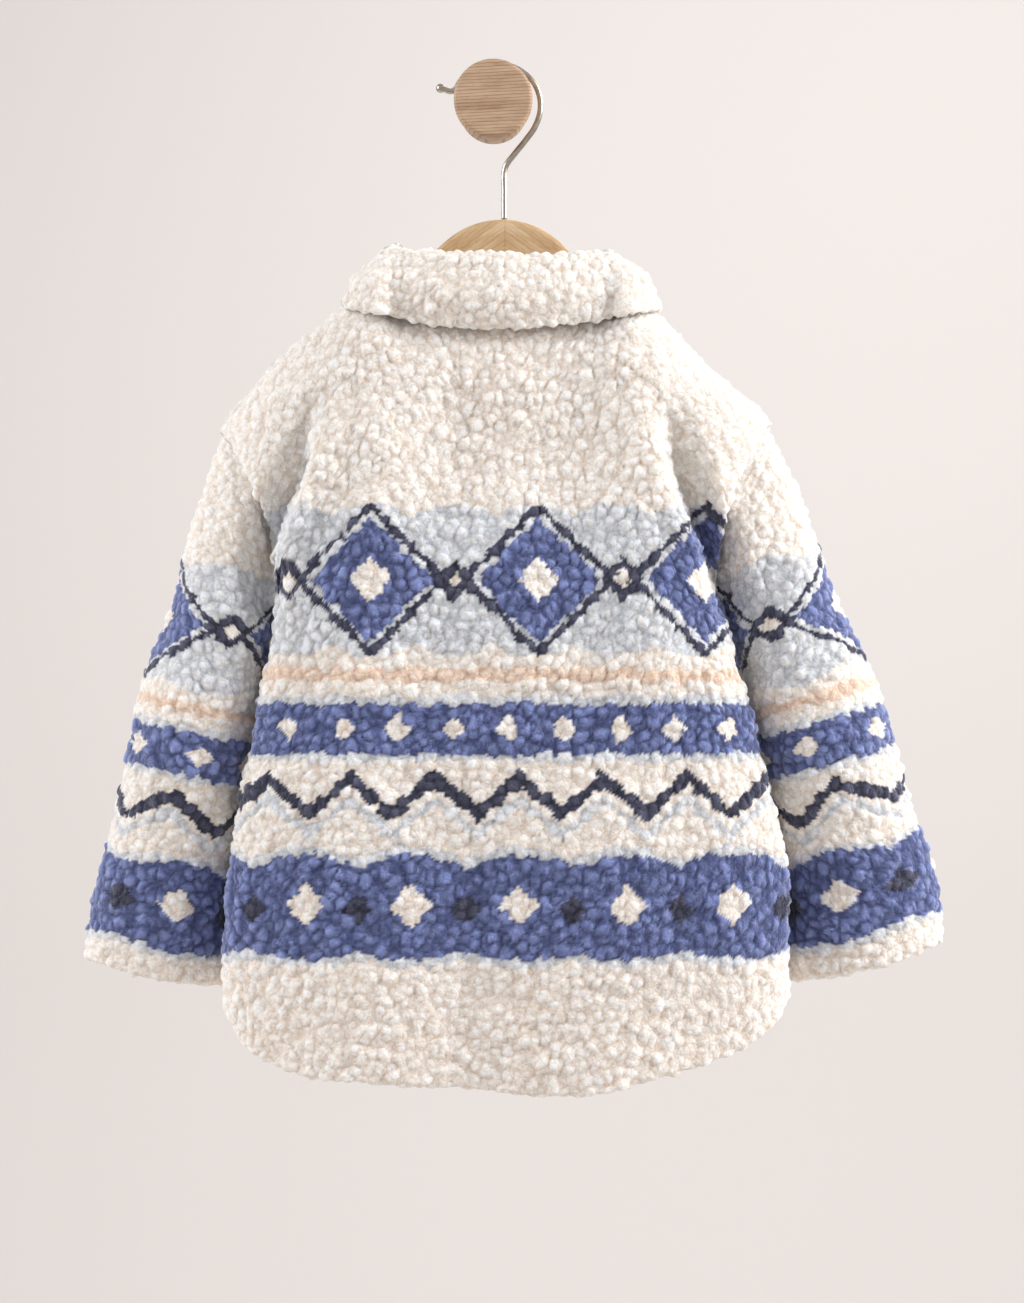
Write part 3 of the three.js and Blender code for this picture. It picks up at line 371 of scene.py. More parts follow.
def panel(face, u, v):
    """A panel of the torso. face -1 is the back, +1 the front; u runs from side seam to side seam, v from
    hem to top edge. Each column follows the rounded section and rolls over into its top edge; near the
    side it follows side seam and armhole; folds stand on it."""
    u, v = np.broadcast_arrays(np.asarray(u, float), np.asarray(v, float))
    sign = side_of(u)
    _, top_y, top_z, inside, _ = top_edge(face, u)
    z = mix(hem_z(face, u), top_z, v)
    roll = ROLL_BACK if face < 0 else ROLL_FRONT
    power = 2 if face < 0 else 3

    def sheet(uu, zz, ty, tz, ins):
        x, y = blank(face, uu, zz)
        t = np.clip((tz - zz) / roll, 0, 1)
        rolled = mix((1 - (1 - t) ** power) ** (1 / power), np.sin(t * np.pi / 2), ins)
        return x, mix(ty, y, rolled)

    x, y = sheet(u, z, top_y, top_z, inside)
    blend = edge_blend(face, u)
    tip_z, under_z = by_side(sign, TIP, 1), by_side(sign, UNDER, 1)
    z_end = mix((under_z - ARMHOLE_FROM * tip_z) / (1 - ARMHOLE_FROM), tip_z, v)
    ex, ey = sheet(sign, z_end, HANG_Y, tip_z, 0.0)
    c = (v - ARMHOLE_FROM) / (1 - ARMHOLE_FROM) * 2 - 1
    ease = np.where(c < 0, mix(0.5, 1.1, soft((0.93 - np.abs(u)) / 0.12)), 0.5)
    gx, gy, _ = armhole(sign, np.clip(c, -1, 1), face, ease)
    ux, uy = sheet(sign, under_z, HANG_Y, tip_z, 0.0)
    below = c < -1
    hold = np.where(below, 1 - soft((under_z - z_end) / 45), 1.0)
    gx = np.where(below, ex + by_side(sign, UNDER, 0) - ux, gx)
    gy = np.where(below, ey + UNDER_Y - uy, gy)
    x = x + blend * hold * (gx - ex)
    y = y + blend * hold * (gy - ey)
    a = np.abs(u)
    beside = soft((a - 0.88) / 0.06) * soft((1 - a) / 0.03) * (blend > 0)
    ridge = SEAM_RIDGE * beside * soft((c + 0.9) / 0.3)
    low = armhole_normal(sign, np.clip(c, -1, 1), face) * ridge[..., None]
    low[..., 0] -= sign * UNDERARM_TUCK * beside * np.exp(-((c + 1) / 0.25) ** 2)
    calm = (1 - blend) * soft((top_z - z) / 26)
    y = y + face * fold_height(FOLDS_BACK if face < 0 else FOLDS_FRONT, x, z) * calm
    eased = FRONT_SOFT + WALL_ROOM * (1 - np.exp(np.minimum(0, FRONT_SOFT - y) / WALL_ROOM))
    y = np.where(y > FRONT_SOFT, eased, y)
    return np.stack([x, y, z], -1) + low


def top_normal(face, u):
    """Direction of the wall along the top edge: one for both panels at the shoulder, level at the neck."""
    x = top_x(face, u)
    rise = np.where(x < 0, along(SHOULDER_LEFT, x - 2) - along(SHOULDER_LEFT, x + 2),
                    along(SHOULDER_RIGHT, x - 2) - along(SHOULDER_RIGHT, x + 2))
    n = unit(np.stack([rise, np.zeros_like(rise), np.full_like(rise, 4.0)], -1))
    near = soft((np.abs(x - NECK_X) - 120) / 25)[..., None]
    n = unit(mix(n, armhole_normal(side_of(u), np.ones_like(x), face), near))
    level = np.array([0, face, 0.15])
    inside = soft(top_edge(face, u)[4] / (0.8 if face < 0 else 0.42))[..., None]
    return unit(mix(n, level, inside))


def panel_normal(face, u, v):
    """Direction of the wall: across the sheet, turned to the edges' own directions near them."""
    u, v = np.broadcast_arrays(np.asarray(u, float), np.asarray(v, float))
    d = 2e-4
    c = (v - ARMHOLE_FROM) / (1 - ARMHOLE_FROM) * 2 - 1
    du = panel(face, np.minimum(u + d, 1), v) - panel(face, np.maximum(u - d, -1), v)
    dv = unit(panel(face, u, np.minimum(v + d, 1)) - panel(face, u, np.maximum(v - d, 0)))
    upright = (soft((np.abs(u) - 0.6) / 0.15) * soft((0.95 - np.abs(u)) / 0.05)
               * soft((c + 1.7) / 0.4) * soft((-0.7 - c) / 0.2))[..., None]
    n = unit(np.cross(du, mix(dv, np.array([0, 0, 1.0]), upright))) * -face
    _, _, top_z, _, neck = top_edge(face, u)
    below = (1 - v) * (top_z - hem_z(face, u))
    upper = (1 - soft(below / np.where(neck > 0, 22, 1.5)))[..., None]
    n = unit(mix(n, top_normal(face, u), upper))
    near = (soft((np.abs(u) - 0.86) / 0.14) * soft((c + 1.35) / 0.35))[..., None]
    return unit(mix(n, armhole_normal(side_of(u), np.clip(c, -1, 1), face), near))


def sleeve_table(side):
    """Rows along a sleeve: share, outer edge x and z, inner edge x and z, half depth, outer and inner y."""
    out = (-1, 1)[side]
    rows = [[0, *TIP[side], *UNDER[side], ARMHOLE_DEEP, HANG_Y, UNDER_Y]]
    count = len(SLEEVES[side])
    for i, (ox, oz, iz, deep) in enumerate(SLEEVES[side]):
        ix = along(TORSO, iz, 1) + out * (0.98 * along(TORSO, iz, 2) - 0.6 + SLEEVE_OFF_BODY)
        y = min(1, (i + 1) / 3)
        rows.append([(i + 1) / count, ox, oz, float(ix), iz, deep, mix(HANG_Y, SLEEVE_Y, y),
                     mix(UNDER_Y, SLEEVE_Y, y)])
    return rows


SLEEVE_TABLES = [sleeve_table(0), sleeve_table(1)]


def sleeve(side, k, angle):
    """A sleeve: k runs from the armhole to the cuff, angle from the outer edge round the back. Each ring is
    an ellipse between outer and inner edge, drawn towards the neck near the armhole, with folds across."""
    t = SLEEVE_TABLES[side]
    out = (-1.0, 1.0)[side]
    k, angle = np.broadcast_arrays(np.asarray(k, float), np.asarray(angle, float))
    c, s = np.cos(np.radians(angle)), np.sin(np.radians(angle))
    reach = np.where(c < 0, mix(0.3, 0.09, -c), 0.3)
    scoop = ARMHOLE_SCOOP * (1 - soft(k / reach)) * s * s
    ox, oz, ix, iz, deep = (along(t, k, i) for i in (1, 2, 3, 4, 5))
    bump = np.zeros(k.shape)
    for place, wide, turn, around, high in SLEEVE_FOLDS:
        a = np.abs((angle - turn + 540) % 360 - 180) / around
        bump += high * np.exp(-((k - place) / wide) ** 2 - a * a)
    bump *= soft(k / 0.12) * np.where(0.5 - 0.5 * c < 0.72, 1, soft((1 + c) / 0.56))
    m = (1 + c) / 2
    clear = UNDERARM_CLEAR * soft(k / 0.05) * (1 - soft((k - 0.16) / 0.2)) * soft((0.15 - c) / 0.4)
    return np.stack([
        mix(ix, ox, m) - out * (scoop - clear) + out * bump * np.maximum(c, 0),
        mix(along(t, k, 7), along(t, k, 6), m) - (deep + bump * np.abs(s)) * s,
        mix(iz, oz, m) - CUFF_SAG * s * s * soft((k - 0.7) / 0.3)], -1)


def neck_at(turn):
    """The neckline at an angle round the neck, 0 at the middle of the back."""
    s, c = np.sin(np.radians(turn)), np.cos(np.radians(turn))
    z0 = mix(SHOULDER_LEFT[0][1], SHOULDER_RIGHT[0][1], (1 + s) / 2)
    yb, db = neckline(-1, np.abs(c))
    yf, df = neckline(1, np.abs(c))
    return np.stack([NECK_X + NECK_HALF * s, np.where(c >= 0, yb, yf), z0 - np.where(c >= 0, db, df)], -1)


def collar_middle(turn):
    """Seven points across the collar's leaf at each angle: foot, stand, turns and crown, bow, edge."""
    s, c = np.sin(np.radians(turn)), np.cos(np.radians(turn))
    point = neck_at(turn)
    d = neck_at(turn + 2) - neck_at(turn - 2)
    out = unit(np.stack([d[:, 1], -d[:, 0], np.zeros(len(turn))], -1))
    share = np.abs(c) ** 0.95
    ends = np.where((c >= 0)[:, None, None], np.array(COLLAR_BACK)[None], np.array(COLLAR_FRONT)[None])
    at = mix(np.array(COLLAR_SIDE)[None], ends, share[:, None, None])
    up = np.array([0, 0, 1.0])
    leaf = point[:, None] + out[:, None] * at[..., :1] + up * at[..., 1:]
    t = np.abs(turn)
    leaf[:, 0, 2] += FOOT_LIFT * np.exp(-((t - 116) / 16) ** 2)
    left = turn < 0
    pick = [np.where(left, along(table, t, 1), along(table, t, 2)) for table in (FALL_EDGE, FALL_EDGE_FRONT)]
    below = [along(table, t, 3) for table in (FALL_EDGE, FALL_EDGE_FRONT)]
    edge = np.zeros((len(turn), 3))
    for face, i in ((-1, 0), (1, 1)):
        u = np.where(left, -1, 1) * pick[i]
        top = top_edge(face, u)[2]
        v = 1 - (np.maximum(top - below[i], 3.5) if face < 0 else below[i]) / (top - hem_z(face, u))
        place = panel(face, u, v) + panel_normal(face, u, v) * FALL_LIFT
        edge = np.where(((t <= 90) == (face < 0))[:, None], place, edge)
    turn_out = leaf[:, 4]
    lift = edge - turn_out
    bulge = unit(-out * lift[:, 2:] + up * (lift * out).sum(1, keepdims=True))
    high = np.where(left, along(FALL_BOW, t, 1), along(FALL_BOW, t, 2))
    bow = (edge + turn_out) / 2 + bulge * high[:, None]
    return np.concatenate([leaf, bow[:, None], edge[:, None]], 1)


def collar(turn, q):
    """The collar's leaf: a smooth curve through its seven points, at share q from foot to edge."""
    p = collar_middle(turn)
    n = p.shape[1] - 1
    slope = np.empty_like(p)
    slope[:, 1:-1] = (p[:, 2:] - p[:, :-2]) * n / 2
    slope[:, 0] = (p[:, 1] - p[:, 0]) * n
    slope[:, -1] = (p[:, -1] - p[:, -2]) * n
    i = np.clip((q * n).astype(int), 0, n - 1)
    t = (q * n - i)[None, :, None]
    t2, t3 = t * t, t * t * t
    return ((2 * t3 - 3 * t2 + 1) * p[:, i] + (t3 - 2 * t2 + t) * slope[:, i] / n
            + (3 * t2 - 2 * t3) * p[:, i + 1] + (t3 - t2) * slope[:, i + 1] / n)


# ---- pile ----

def scatter(cell, salt):
    """A repeatable random number from 0 to 1 for each cell of a lattice, by mixing its whole numbers."""
    c = cell.astype(np.int64)
    h = (c[..., 0] * 73856093) ^ (c[..., 1] * 19349663) ^ (c[..., 2] * 83492791) ^ (salt * 2654435761)
    h = (h ^ (h >> 13)) * 1274126177 & 0xFFFFFFFF
    h = (h ^ (h >> 16)) * 668265263 & 0xFFFFFFFF
    return ((h ^ (h >> 15)) & 0xFFFFFF) / float(0xFFFFFF)


def curls(p, pitch, salt=0, upright=1.12):
    """Curls of the pile at points p: each point of space belongs to the nearest of many scattered centres,
    one in each cell of a cubic lattice. Gives the distance to the border with the next curl as a share of
    the pitch, a smoothed distance to the centres, the centre of the point's own curl, and a random number
    of that curl."""
    shape = np.array([pitch, pitch, pitch * upright])
    q = p.reshape(-1, 3) / shape
    cell = np.floor(q)
    first = np.full(len(q), 9.0)
    second = np.full(len(q), 9.0)
    centre = np.zeros_like(q)
    own = np.zeros(len(q))
    near = np.zeros(len(q))
    for dx in (-1, 0, 1):
        for dy in (-1, 0, 1):
            for dz in (-1, 0, 1):
                c = cell + np.array([dx, dy, dz])
                spot = c + 0.5 + 0.86 * (np.stack([scatter(c, salt + i) for i in (1, 2, 3)], -1) - 0.5)
                d = np.linalg.norm(q - spot, axis=1)
                near += np.exp(-11 * d)
                closer = d < first
                second = np.where(closer, first, np.minimum(second, d))
                centre = np.where(closer[:, None], spot, centre)
                own = np.where(closer, scatter(c, salt + 4), own)
                first = np.where(closer, d, first)
    lead = p.shape[:-1]
    smooth = -np.log(near) / 11
    return ((second - first).reshape(lead), smooth.reshape(lead), (centre * shape).reshape(p.shape),
            own.reshape(lead))


def swell(p, size, salt):
    """Slow unevenness from -1 to 1: a smooth mix of random numbers on a cubic lattice."""
    q = p.reshape(-1, 3) / size
    cell = np.floor(q)
    f = soft(q - cell)
    total = np.zeros(len(q))
    for dx in (0, 1):
        for dy in (0, 1):
            for dz in (0, 1):
                w = (np.where(dx, f[:, 0], 1 - f[:, 0]) * np.where(dy, f[:, 1], 1 - f[:, 1])
                     * np.where(dz, f[:, 2], 1 - f[:, 2]))
                total += w * scatter(cell + np.array([dx, dy, dz]), salt)
    return (2 * total - 1).reshape(p.shape[:-1])


def pile(p, pitch, high):
    """Height of the pile at points p, a factor for the painted shade and painted light of its colour from 0
    in a crevice to 1 on top, its curl's centre and random number.
    A curl is a dome that falls steeply to its border; curls differ in height and rise and sink together."""
    bent = p + CURL_BEND * np.stack([swell(p, CURL_BEND_SIZE, salt) for salt in (41, 42, 43)], -1)
    gap, round_, centre, own = curls(bent, pitch)
    _, fine, _, mark = curls(bent, 0.45 * pitch, 50)
    t = np.clip(gap / 0.62, 0, 1)
    dome = 0.62 * np.clip(1 - (np.maximum(round_, 0) / 0.66) ** 2, 0, 1) + 0.38 * (1 - (1 - t) ** 2.3)
    tuft = np.clip(1 - (np.maximum(fine, 0) / 0.62) ** 2, 0, 1)
    clump = swell(p, CLUMP_SIZE, 11)
    tall = high * (0.66 + 0.36 * own + 0.20 * clump)
    small = high * 0.12 * (tuft * (0.6 + 0.4 * mark) - 0.5) * (0.3 + 0.7 * dome)
    height = tall * (0.50 + 0.50 * dome) + small
    # factor for painted shade in crevices and painted light on curl tops
    return height, 0.45 * t + 0.35 * dome + 0.20 * tuft, centre, own


# ---- band pattern of the knitted pile ----

def linear(rgb):
    """Linear light from display values of 0 to 255."""
    c = np.asarray(rgb, float) / 255
    return np.where(c <= 0.04045, c / 12.92, ((c + 0.055) / 1.055) ** 2.4)


def star(x, z, r):
    """Eight-pointed star of radius r round the origin: two crossed squares drawn in at their flanks."""
    a, b = np.abs(x), np.abs(z)
    point = np.minimum(np.maximum(a, b) + 0.9 * np.minimum(a, b), 1.25 * (a + b) * 0.78 + 0.3 * np.abs(a - b))
    return point < r


def bands(s, t):
    """Colour number of the generic band pattern at distance s across and t below the yoke, in millimetres:
    0 cream, 1 pale blue, 2 mid blue, 3 charcoal blue, 4 peach. Even repeats of framed lozenges with a star,
    small diamonds, a dotted band, two zigzags and a scalloped band of stars."""
    out = np.zeros(np.broadcast(s, t).shape, int)
    scallop = 6.0 * np.abs(np.sin(np.pi * s / 42))
    out[(t > 4 - scallop) & (t < 72 + scallop)] = 1
    # framed lozenges with a star, small diamonds between them
    across, down = (s + 20) % 88 - 44, t - 38
    lozenge = (np.abs(across) + np.abs(down)) / 33
    out[(lozenge > 1.10) & (lozenge < 1.25)] = 3
    out[lozenge < 1] = 2
    out[star(across, down, 11)] = 0
    diamond = (np.abs((s + 64) % 88 - 44) + np.abs(down)) / 11.5
    out[diamond < 1] = 3
    out[diamond < 0.42] = 0
    # peach line, dotted band with pale rims
    out[(t > 85) & (t < 91)] = 4
    out[(t > 99) & (t < 133)] = 1
    out[(t > 103) & (t < 129)] = 2
    out[np.abs((s + 6) % 29 - 14.5) + np.abs(t - 116) < 6.6] = 0
    # two zigzags
    zigzag = np.abs((s + 8) % 44 - 22) - 11
    out[np.abs(t - 151 - 0.85 * zigzag) < 4.2] = 3
    out[np.abs(t - 162 - 0.85 * zigzag) < 3.0] = 1
    # scalloped band with stars and diamonds
    edge = 7.0 * np.abs(np.sin(np.pi * (s + 14) / 56))
    out[(t > 184 - edge) & (t < 236 + 0.6 * edge)] = 1
    out[(t > 188 - edge) & (t < 232 + 0.6 * edge)] = 2
    out[star((s + 14) % 56 - 28, t - 208, 10.5)] = 0
    out[np.abs((s + 42) % 56 - 28) + np.abs(t - 210) < 8] = 3
    return out


def pile_colours_with_shade(shades, number, own, dome, patch):
    """Colour of each point: its band's colour, a little lighter or darker by curl and by area, with painted
    shade in the crevices, deep and strong in the blues, warm in the pale wool, and painted light on the tops
    of the curls."""
    base = shades[number]
    dark = ((number == 2) | (number == 3))[..., None]
    pale = (number == 1)[..., None]
    light = 1 + np.where(dark[..., 0], 0.22, 0.05) * (own - 0.5) + 0.03 * patch
    # painted shade in the crevices and painted light on the curl tops
    pale_crevice_shade = np.where(pale, np.array(CREVICE_SHADE_PALE_BLUE), np.array(CREVICE_SHADE_CREAM))
    foot = np.where(dark, np.array(CREVICE_SHADE_BLUES), pale_crevice_shade)
    top = np.where(dark, np.array(TOP_LIGHT_BLUES), TOP_LIGHT_PALE)
    return base * light[..., None] * mix(foot, top, soft(dome * 1.1)[..., None])


# ---- meshes ----

def grid_faces(rows, cols, start, around=False, flip=False):
    """Two triangles for each cell of a grid of vertices that is stored row by row from start."""
    last = cols if around else cols - 1
    i, j = np.meshgrid(np.arange(rows - 1), np.arange(last), indexing="ij")
    a = start + i * cols + j
    b = start + i * cols + (j + 1) % cols
    c, d = b + cols, a + cols
    tris = np.concatenate([np.stack([a, b, c], -1).reshape(-1, 3), np.stack([a, c, d], -1).reshape(-1, 3)])
    return tris[:, ::-1] if flip else tris


def zip_faces(fine, coarse, match, flip):
    """Triangles between a fine and a coarse line of vertices; match gives each fine one its coarse place."""
    a, b = fine[:-1], fine[1:]
    near = coarse[match[:-1]]
    far = coarse[match[1:]]
    step = near != far
    tris = np.concatenate([np.stack([a, b, near], -1), np.stack([b[step], far[step], near[step]], -1)])
    return tris[:, ::-1] if flip else tris


def put_mesh(name, points, tris, materials, colours=None):
    """A new object from points in millimetres and triangles, turned so that its volume is positive."""
    tri = points[tris]
    if np.einsum("ij,ij->i", tri[:, 0], np.cross(tri[:, 1], tri[:, 2])).sum() < 0:
        tris = tris[:, ::-1]
    mesh = bpy.data.meshes.new(name)
    mesh.vertices.add(len(points))
    mesh.vertices.foreach_set("co", (points * MM).astype(np.float32).ravel())
    mesh.loops.add(tris.size)
    mesh.loops.foreach_set("vertex_index", tris.astype(np.int32).ravel())
    mesh.polygons.add(len(tris))
    mesh.polygons.foreach_set("loop_start", np.arange(0, tris.size, 3, dtype=np.int32))
    mesh.polygons.foreach_set("loop_total", np.full(len(tris), 3, np.int32))
    mesh.polygons.foreach_set("use_smooth", np.full(len(tris), True))
    mesh.update(calc_edges=True)
    if mesh.validate():
        raise RuntimeError(f"{name}: the mesh had faces that are not valid")
    if colours is not None:
        # band colours with painted shade in the crevices and painted light on the curl tops
        layer = mesh.color_attributes.new("pile_colour_and_shade", "FLOAT_COLOR", "POINT")
        rgba = np.concatenate([colours, np.ones((len(colours), 1))], 1)
        layer.data.foreach_set("color", rgba.astype(np.float32).ravel())
    for material in materials:
        mesh.materials.append(material)
    obj = bpy.data.objects.new(name, mesh)
    bpy.context.scene.collection.objects.link(obj)
    return obj


def grid_normals(p, around=False):
    """Directions across a grid of points, from the differences to the next points."""
    if around:
        wide = np.concatenate([p[:, -1:], p, p[:, :1]], 1)
        across = (wide[:, 2:] - wide[:, :-2]) / 2
    else:
        across = np.gradient(p, axis=1)
    return unit(np.cross(across, np.gradient(p, axis=0)))


def fleece_piece(name, face_grid, normals, inner, wall, settings, number_at, around=False, edge_fade=(),
                 material=None):
    """A closed piece of fleece. The outer side is a fine grid that carries the pile, rolled round the free
    edge; the inner side is the coarse grid given; strips of triangles join their borders. number_at gives
    the pattern's colour number at a curl's centre. face_grid runs row by row from the free edge."""
    pitch = settings.curl_size / MM
    high = settings.pile_height / MM
    foot = settings.pile_foot / MM
    p, n = face_grid, normals
    steps = ROLL_STEPS
    theta = np.linspace(np.pi, 0, steps, endpoint=False)[:, None, None]
    rim = (p[:1] - n[:1] * wall / 2)
    leave = unit(p[:1] - p[2:3])
    leave = unit(leave - n[:1] * (leave * n[:1]).sum(-1, keepdims=True))
    turned = np.cos(theta) * n[:1] + np.sin(theta) * leave
    rolled = rim + turned * wall / 2
    full_p = np.concatenate([rolled, p])
    full_n = np.concatenate([turned * np.ones((steps, p.shape[1], 1)), n])
    rows, cols = full_p.shape[:2]
    grow = np.ones((rows, cols))
    grow[:steps] = soft((np.pi - theta[..., 0]) / 0.9)
    for side, reach in edge_fade:
        share = np.linspace(0, 1, cols) if side in ("left", "right") else np.linspace(0, 1, rows)
        share = 1 - share if side in ("right", "top") else share
        fade = soft(share / reach)
        grow *= fade[None, :] if side in ("left", "right") else fade[:, None]
    height, dome, centre, own = pile(full_p, pitch, high)
    uneven = UNEVEN * swell(full_p, UNEVEN_SIZE, 21)
    out = full_p + full_n * ((height - foot + uneven) * grow)[..., None]
    fringe = FRINGE * np.stack([swell(full_p, FRINGE_SIZE, salt) for salt in (61, 62, 63)], -1)
    seat = mix(full_p, centre, 0.38) + fringe
    number = number_at(seat)
    shades = np.array([linear(255 * np.array(c)) for c in (
        settings.cream, settings.pale_blue, settings.mid_blue, settings.charcoal, settings.peach)])
    # band colours with painted shade in the crevices and painted light on the curl tops
    colours = pile_colours_with_shade(shades, number, own, dome, swell(full_p, PATCH_SIZE, 31))
    back_rows, back_cols = inner.shape[:2]
    points = np.concatenate([out.reshape(-1, 3), inner.reshape(-1, 3)])
    start = rows * cols
    fine = np.arange(start).reshape(rows, cols)
    back = start + np.arange(back_rows * back_cols).reshape(back_rows, back_cols)
    up_back = np.round((np.arange(rows) - steps) / (rows - steps - 1) * (back_rows - 1))
    row_match = np.clip(up_back, 0, back_rows - 1).astype(int)
    tris = [grid_faces(rows, cols, 0, around), grid_faces(back_rows, back_cols, start, around, True)]
    if around:
        loop = np.append(np.arange(cols), 0)
        match = np.round(np.arange(cols + 1) / cols * back_cols).astype(int) % back_cols
        tris.append(zip_faces(fine[0][loop], back[0], match, True))
        tris.append(zip_faces(fine[-1][loop], back[-1], match, False))
    else:
        match = np.round(np.arange(cols) / (cols - 1) * (back_cols - 1)).astype(int)
        tris.append(zip_faces(fine[0], back[0], match, True))
        tris.append(zip_faces(fine[-1], back[-1], match, False))
        tris.append(zip_faces(fine[:, 0], back[:, 0], row_match, False))
        tris.append(zip_faces(fine[:, -1], back[:, -1], row_match, True))
    plain = np.tile(shades[0] * 0.93, (back_rows * back_cols, 1))
    return put_mesh(name, points, np.concatenate(tris), [material],
                    np.concatenate([colours.reshape(-1, 3), plain]))


def capped_faces(rows, cols):
    """Triangles of a tube of closed rings and of the fans to its two middle points, stored last."""
    j = np.arange(cols)
    ring_end = (rows - 1) * cols
    caps = [np.stack([np.full(cols, rows * cols), (j + 1) % cols, j], -1),
            np.stack([np.full(cols, rows * cols + 1), ring_end + j, ring_end + (j + 1) % cols], -1)]
    return np.concatenate([grid_faces(rows, cols, 0, True), *caps])


def revolve(name, profile, turns, centre, axis_y, material):
    """A turned solid: a profile of radius and height, carried round an axis along +Y through centre."""
    profile = np.array(profile, float)
    a = np.linspace(0, 2 * np.pi, turns, endpoint=False)
    ring = np.stack([np.cos(a), np.zeros(turns), np.sin(a)], -1)
    radius, height = profile[1:-1, 0][:, None, None], profile[1:-1, 1][:, None, None]
    body = radius * ring[None] + np.array([0, axis_y, 0]) * height
    ends = np.array([[0, axis_y * profile[0, 1], 0], [0, axis_y * profile[-1, 1], 0]])
    points = np.concatenate([body.reshape(-1, 3), ends]) + np.array(centre)
    return put_mesh(name, points, capped_faces(len(body), turns), [material])


def capped_tube(name, rings, material):
    """A solid through closed rings of points, its two ends filled from their middle."""
    rings = np.asarray(rings)
    rows, m = rings.shape[:2]
    points = np.concatenate([rings.reshape(-1, 3), rings[0].mean(0)[None], rings[-1].mean(0)[None]])
    return put_mesh(name, points, capped_faces(rows, m), [material])


# ---- materials ----

def new_material(name):
    """A node material with its Principled shader."""
    material = bpy.data.materials.new(name)
    material.use_nodes = True
    tree = material.node_tree
    return material, tree.nodes, tree.links, tree.nodes["Principled BSDF"]


def node(nodes, kind, inputs=None, **values):
    """A node of a kind with its properties and plain input values set."""
    made = nodes.new(kind)
    for key, value in values.items():
        setattr(made, key, value)
    for key, value in (inputs or {}).items():
        made.inputs[key].default_value = value
    return made


def ramp(nodes, stops):
    """A colour ramp through stops of place and linear colour."""
    made = nodes.new("ShaderNodeValToRGB")
    band = made.color_ramp
    band.elements[0].position, band.elements[0].color = stops[0][0], (*stops[0][1], 1)
    band.elements[1].position, band.elements[1].color = stops[-1][0], (*stops[-1][1], 1)
    for place, colour in stops[1:-1]:
        band.elements.new(place).color = (*colour, 1)
    return made


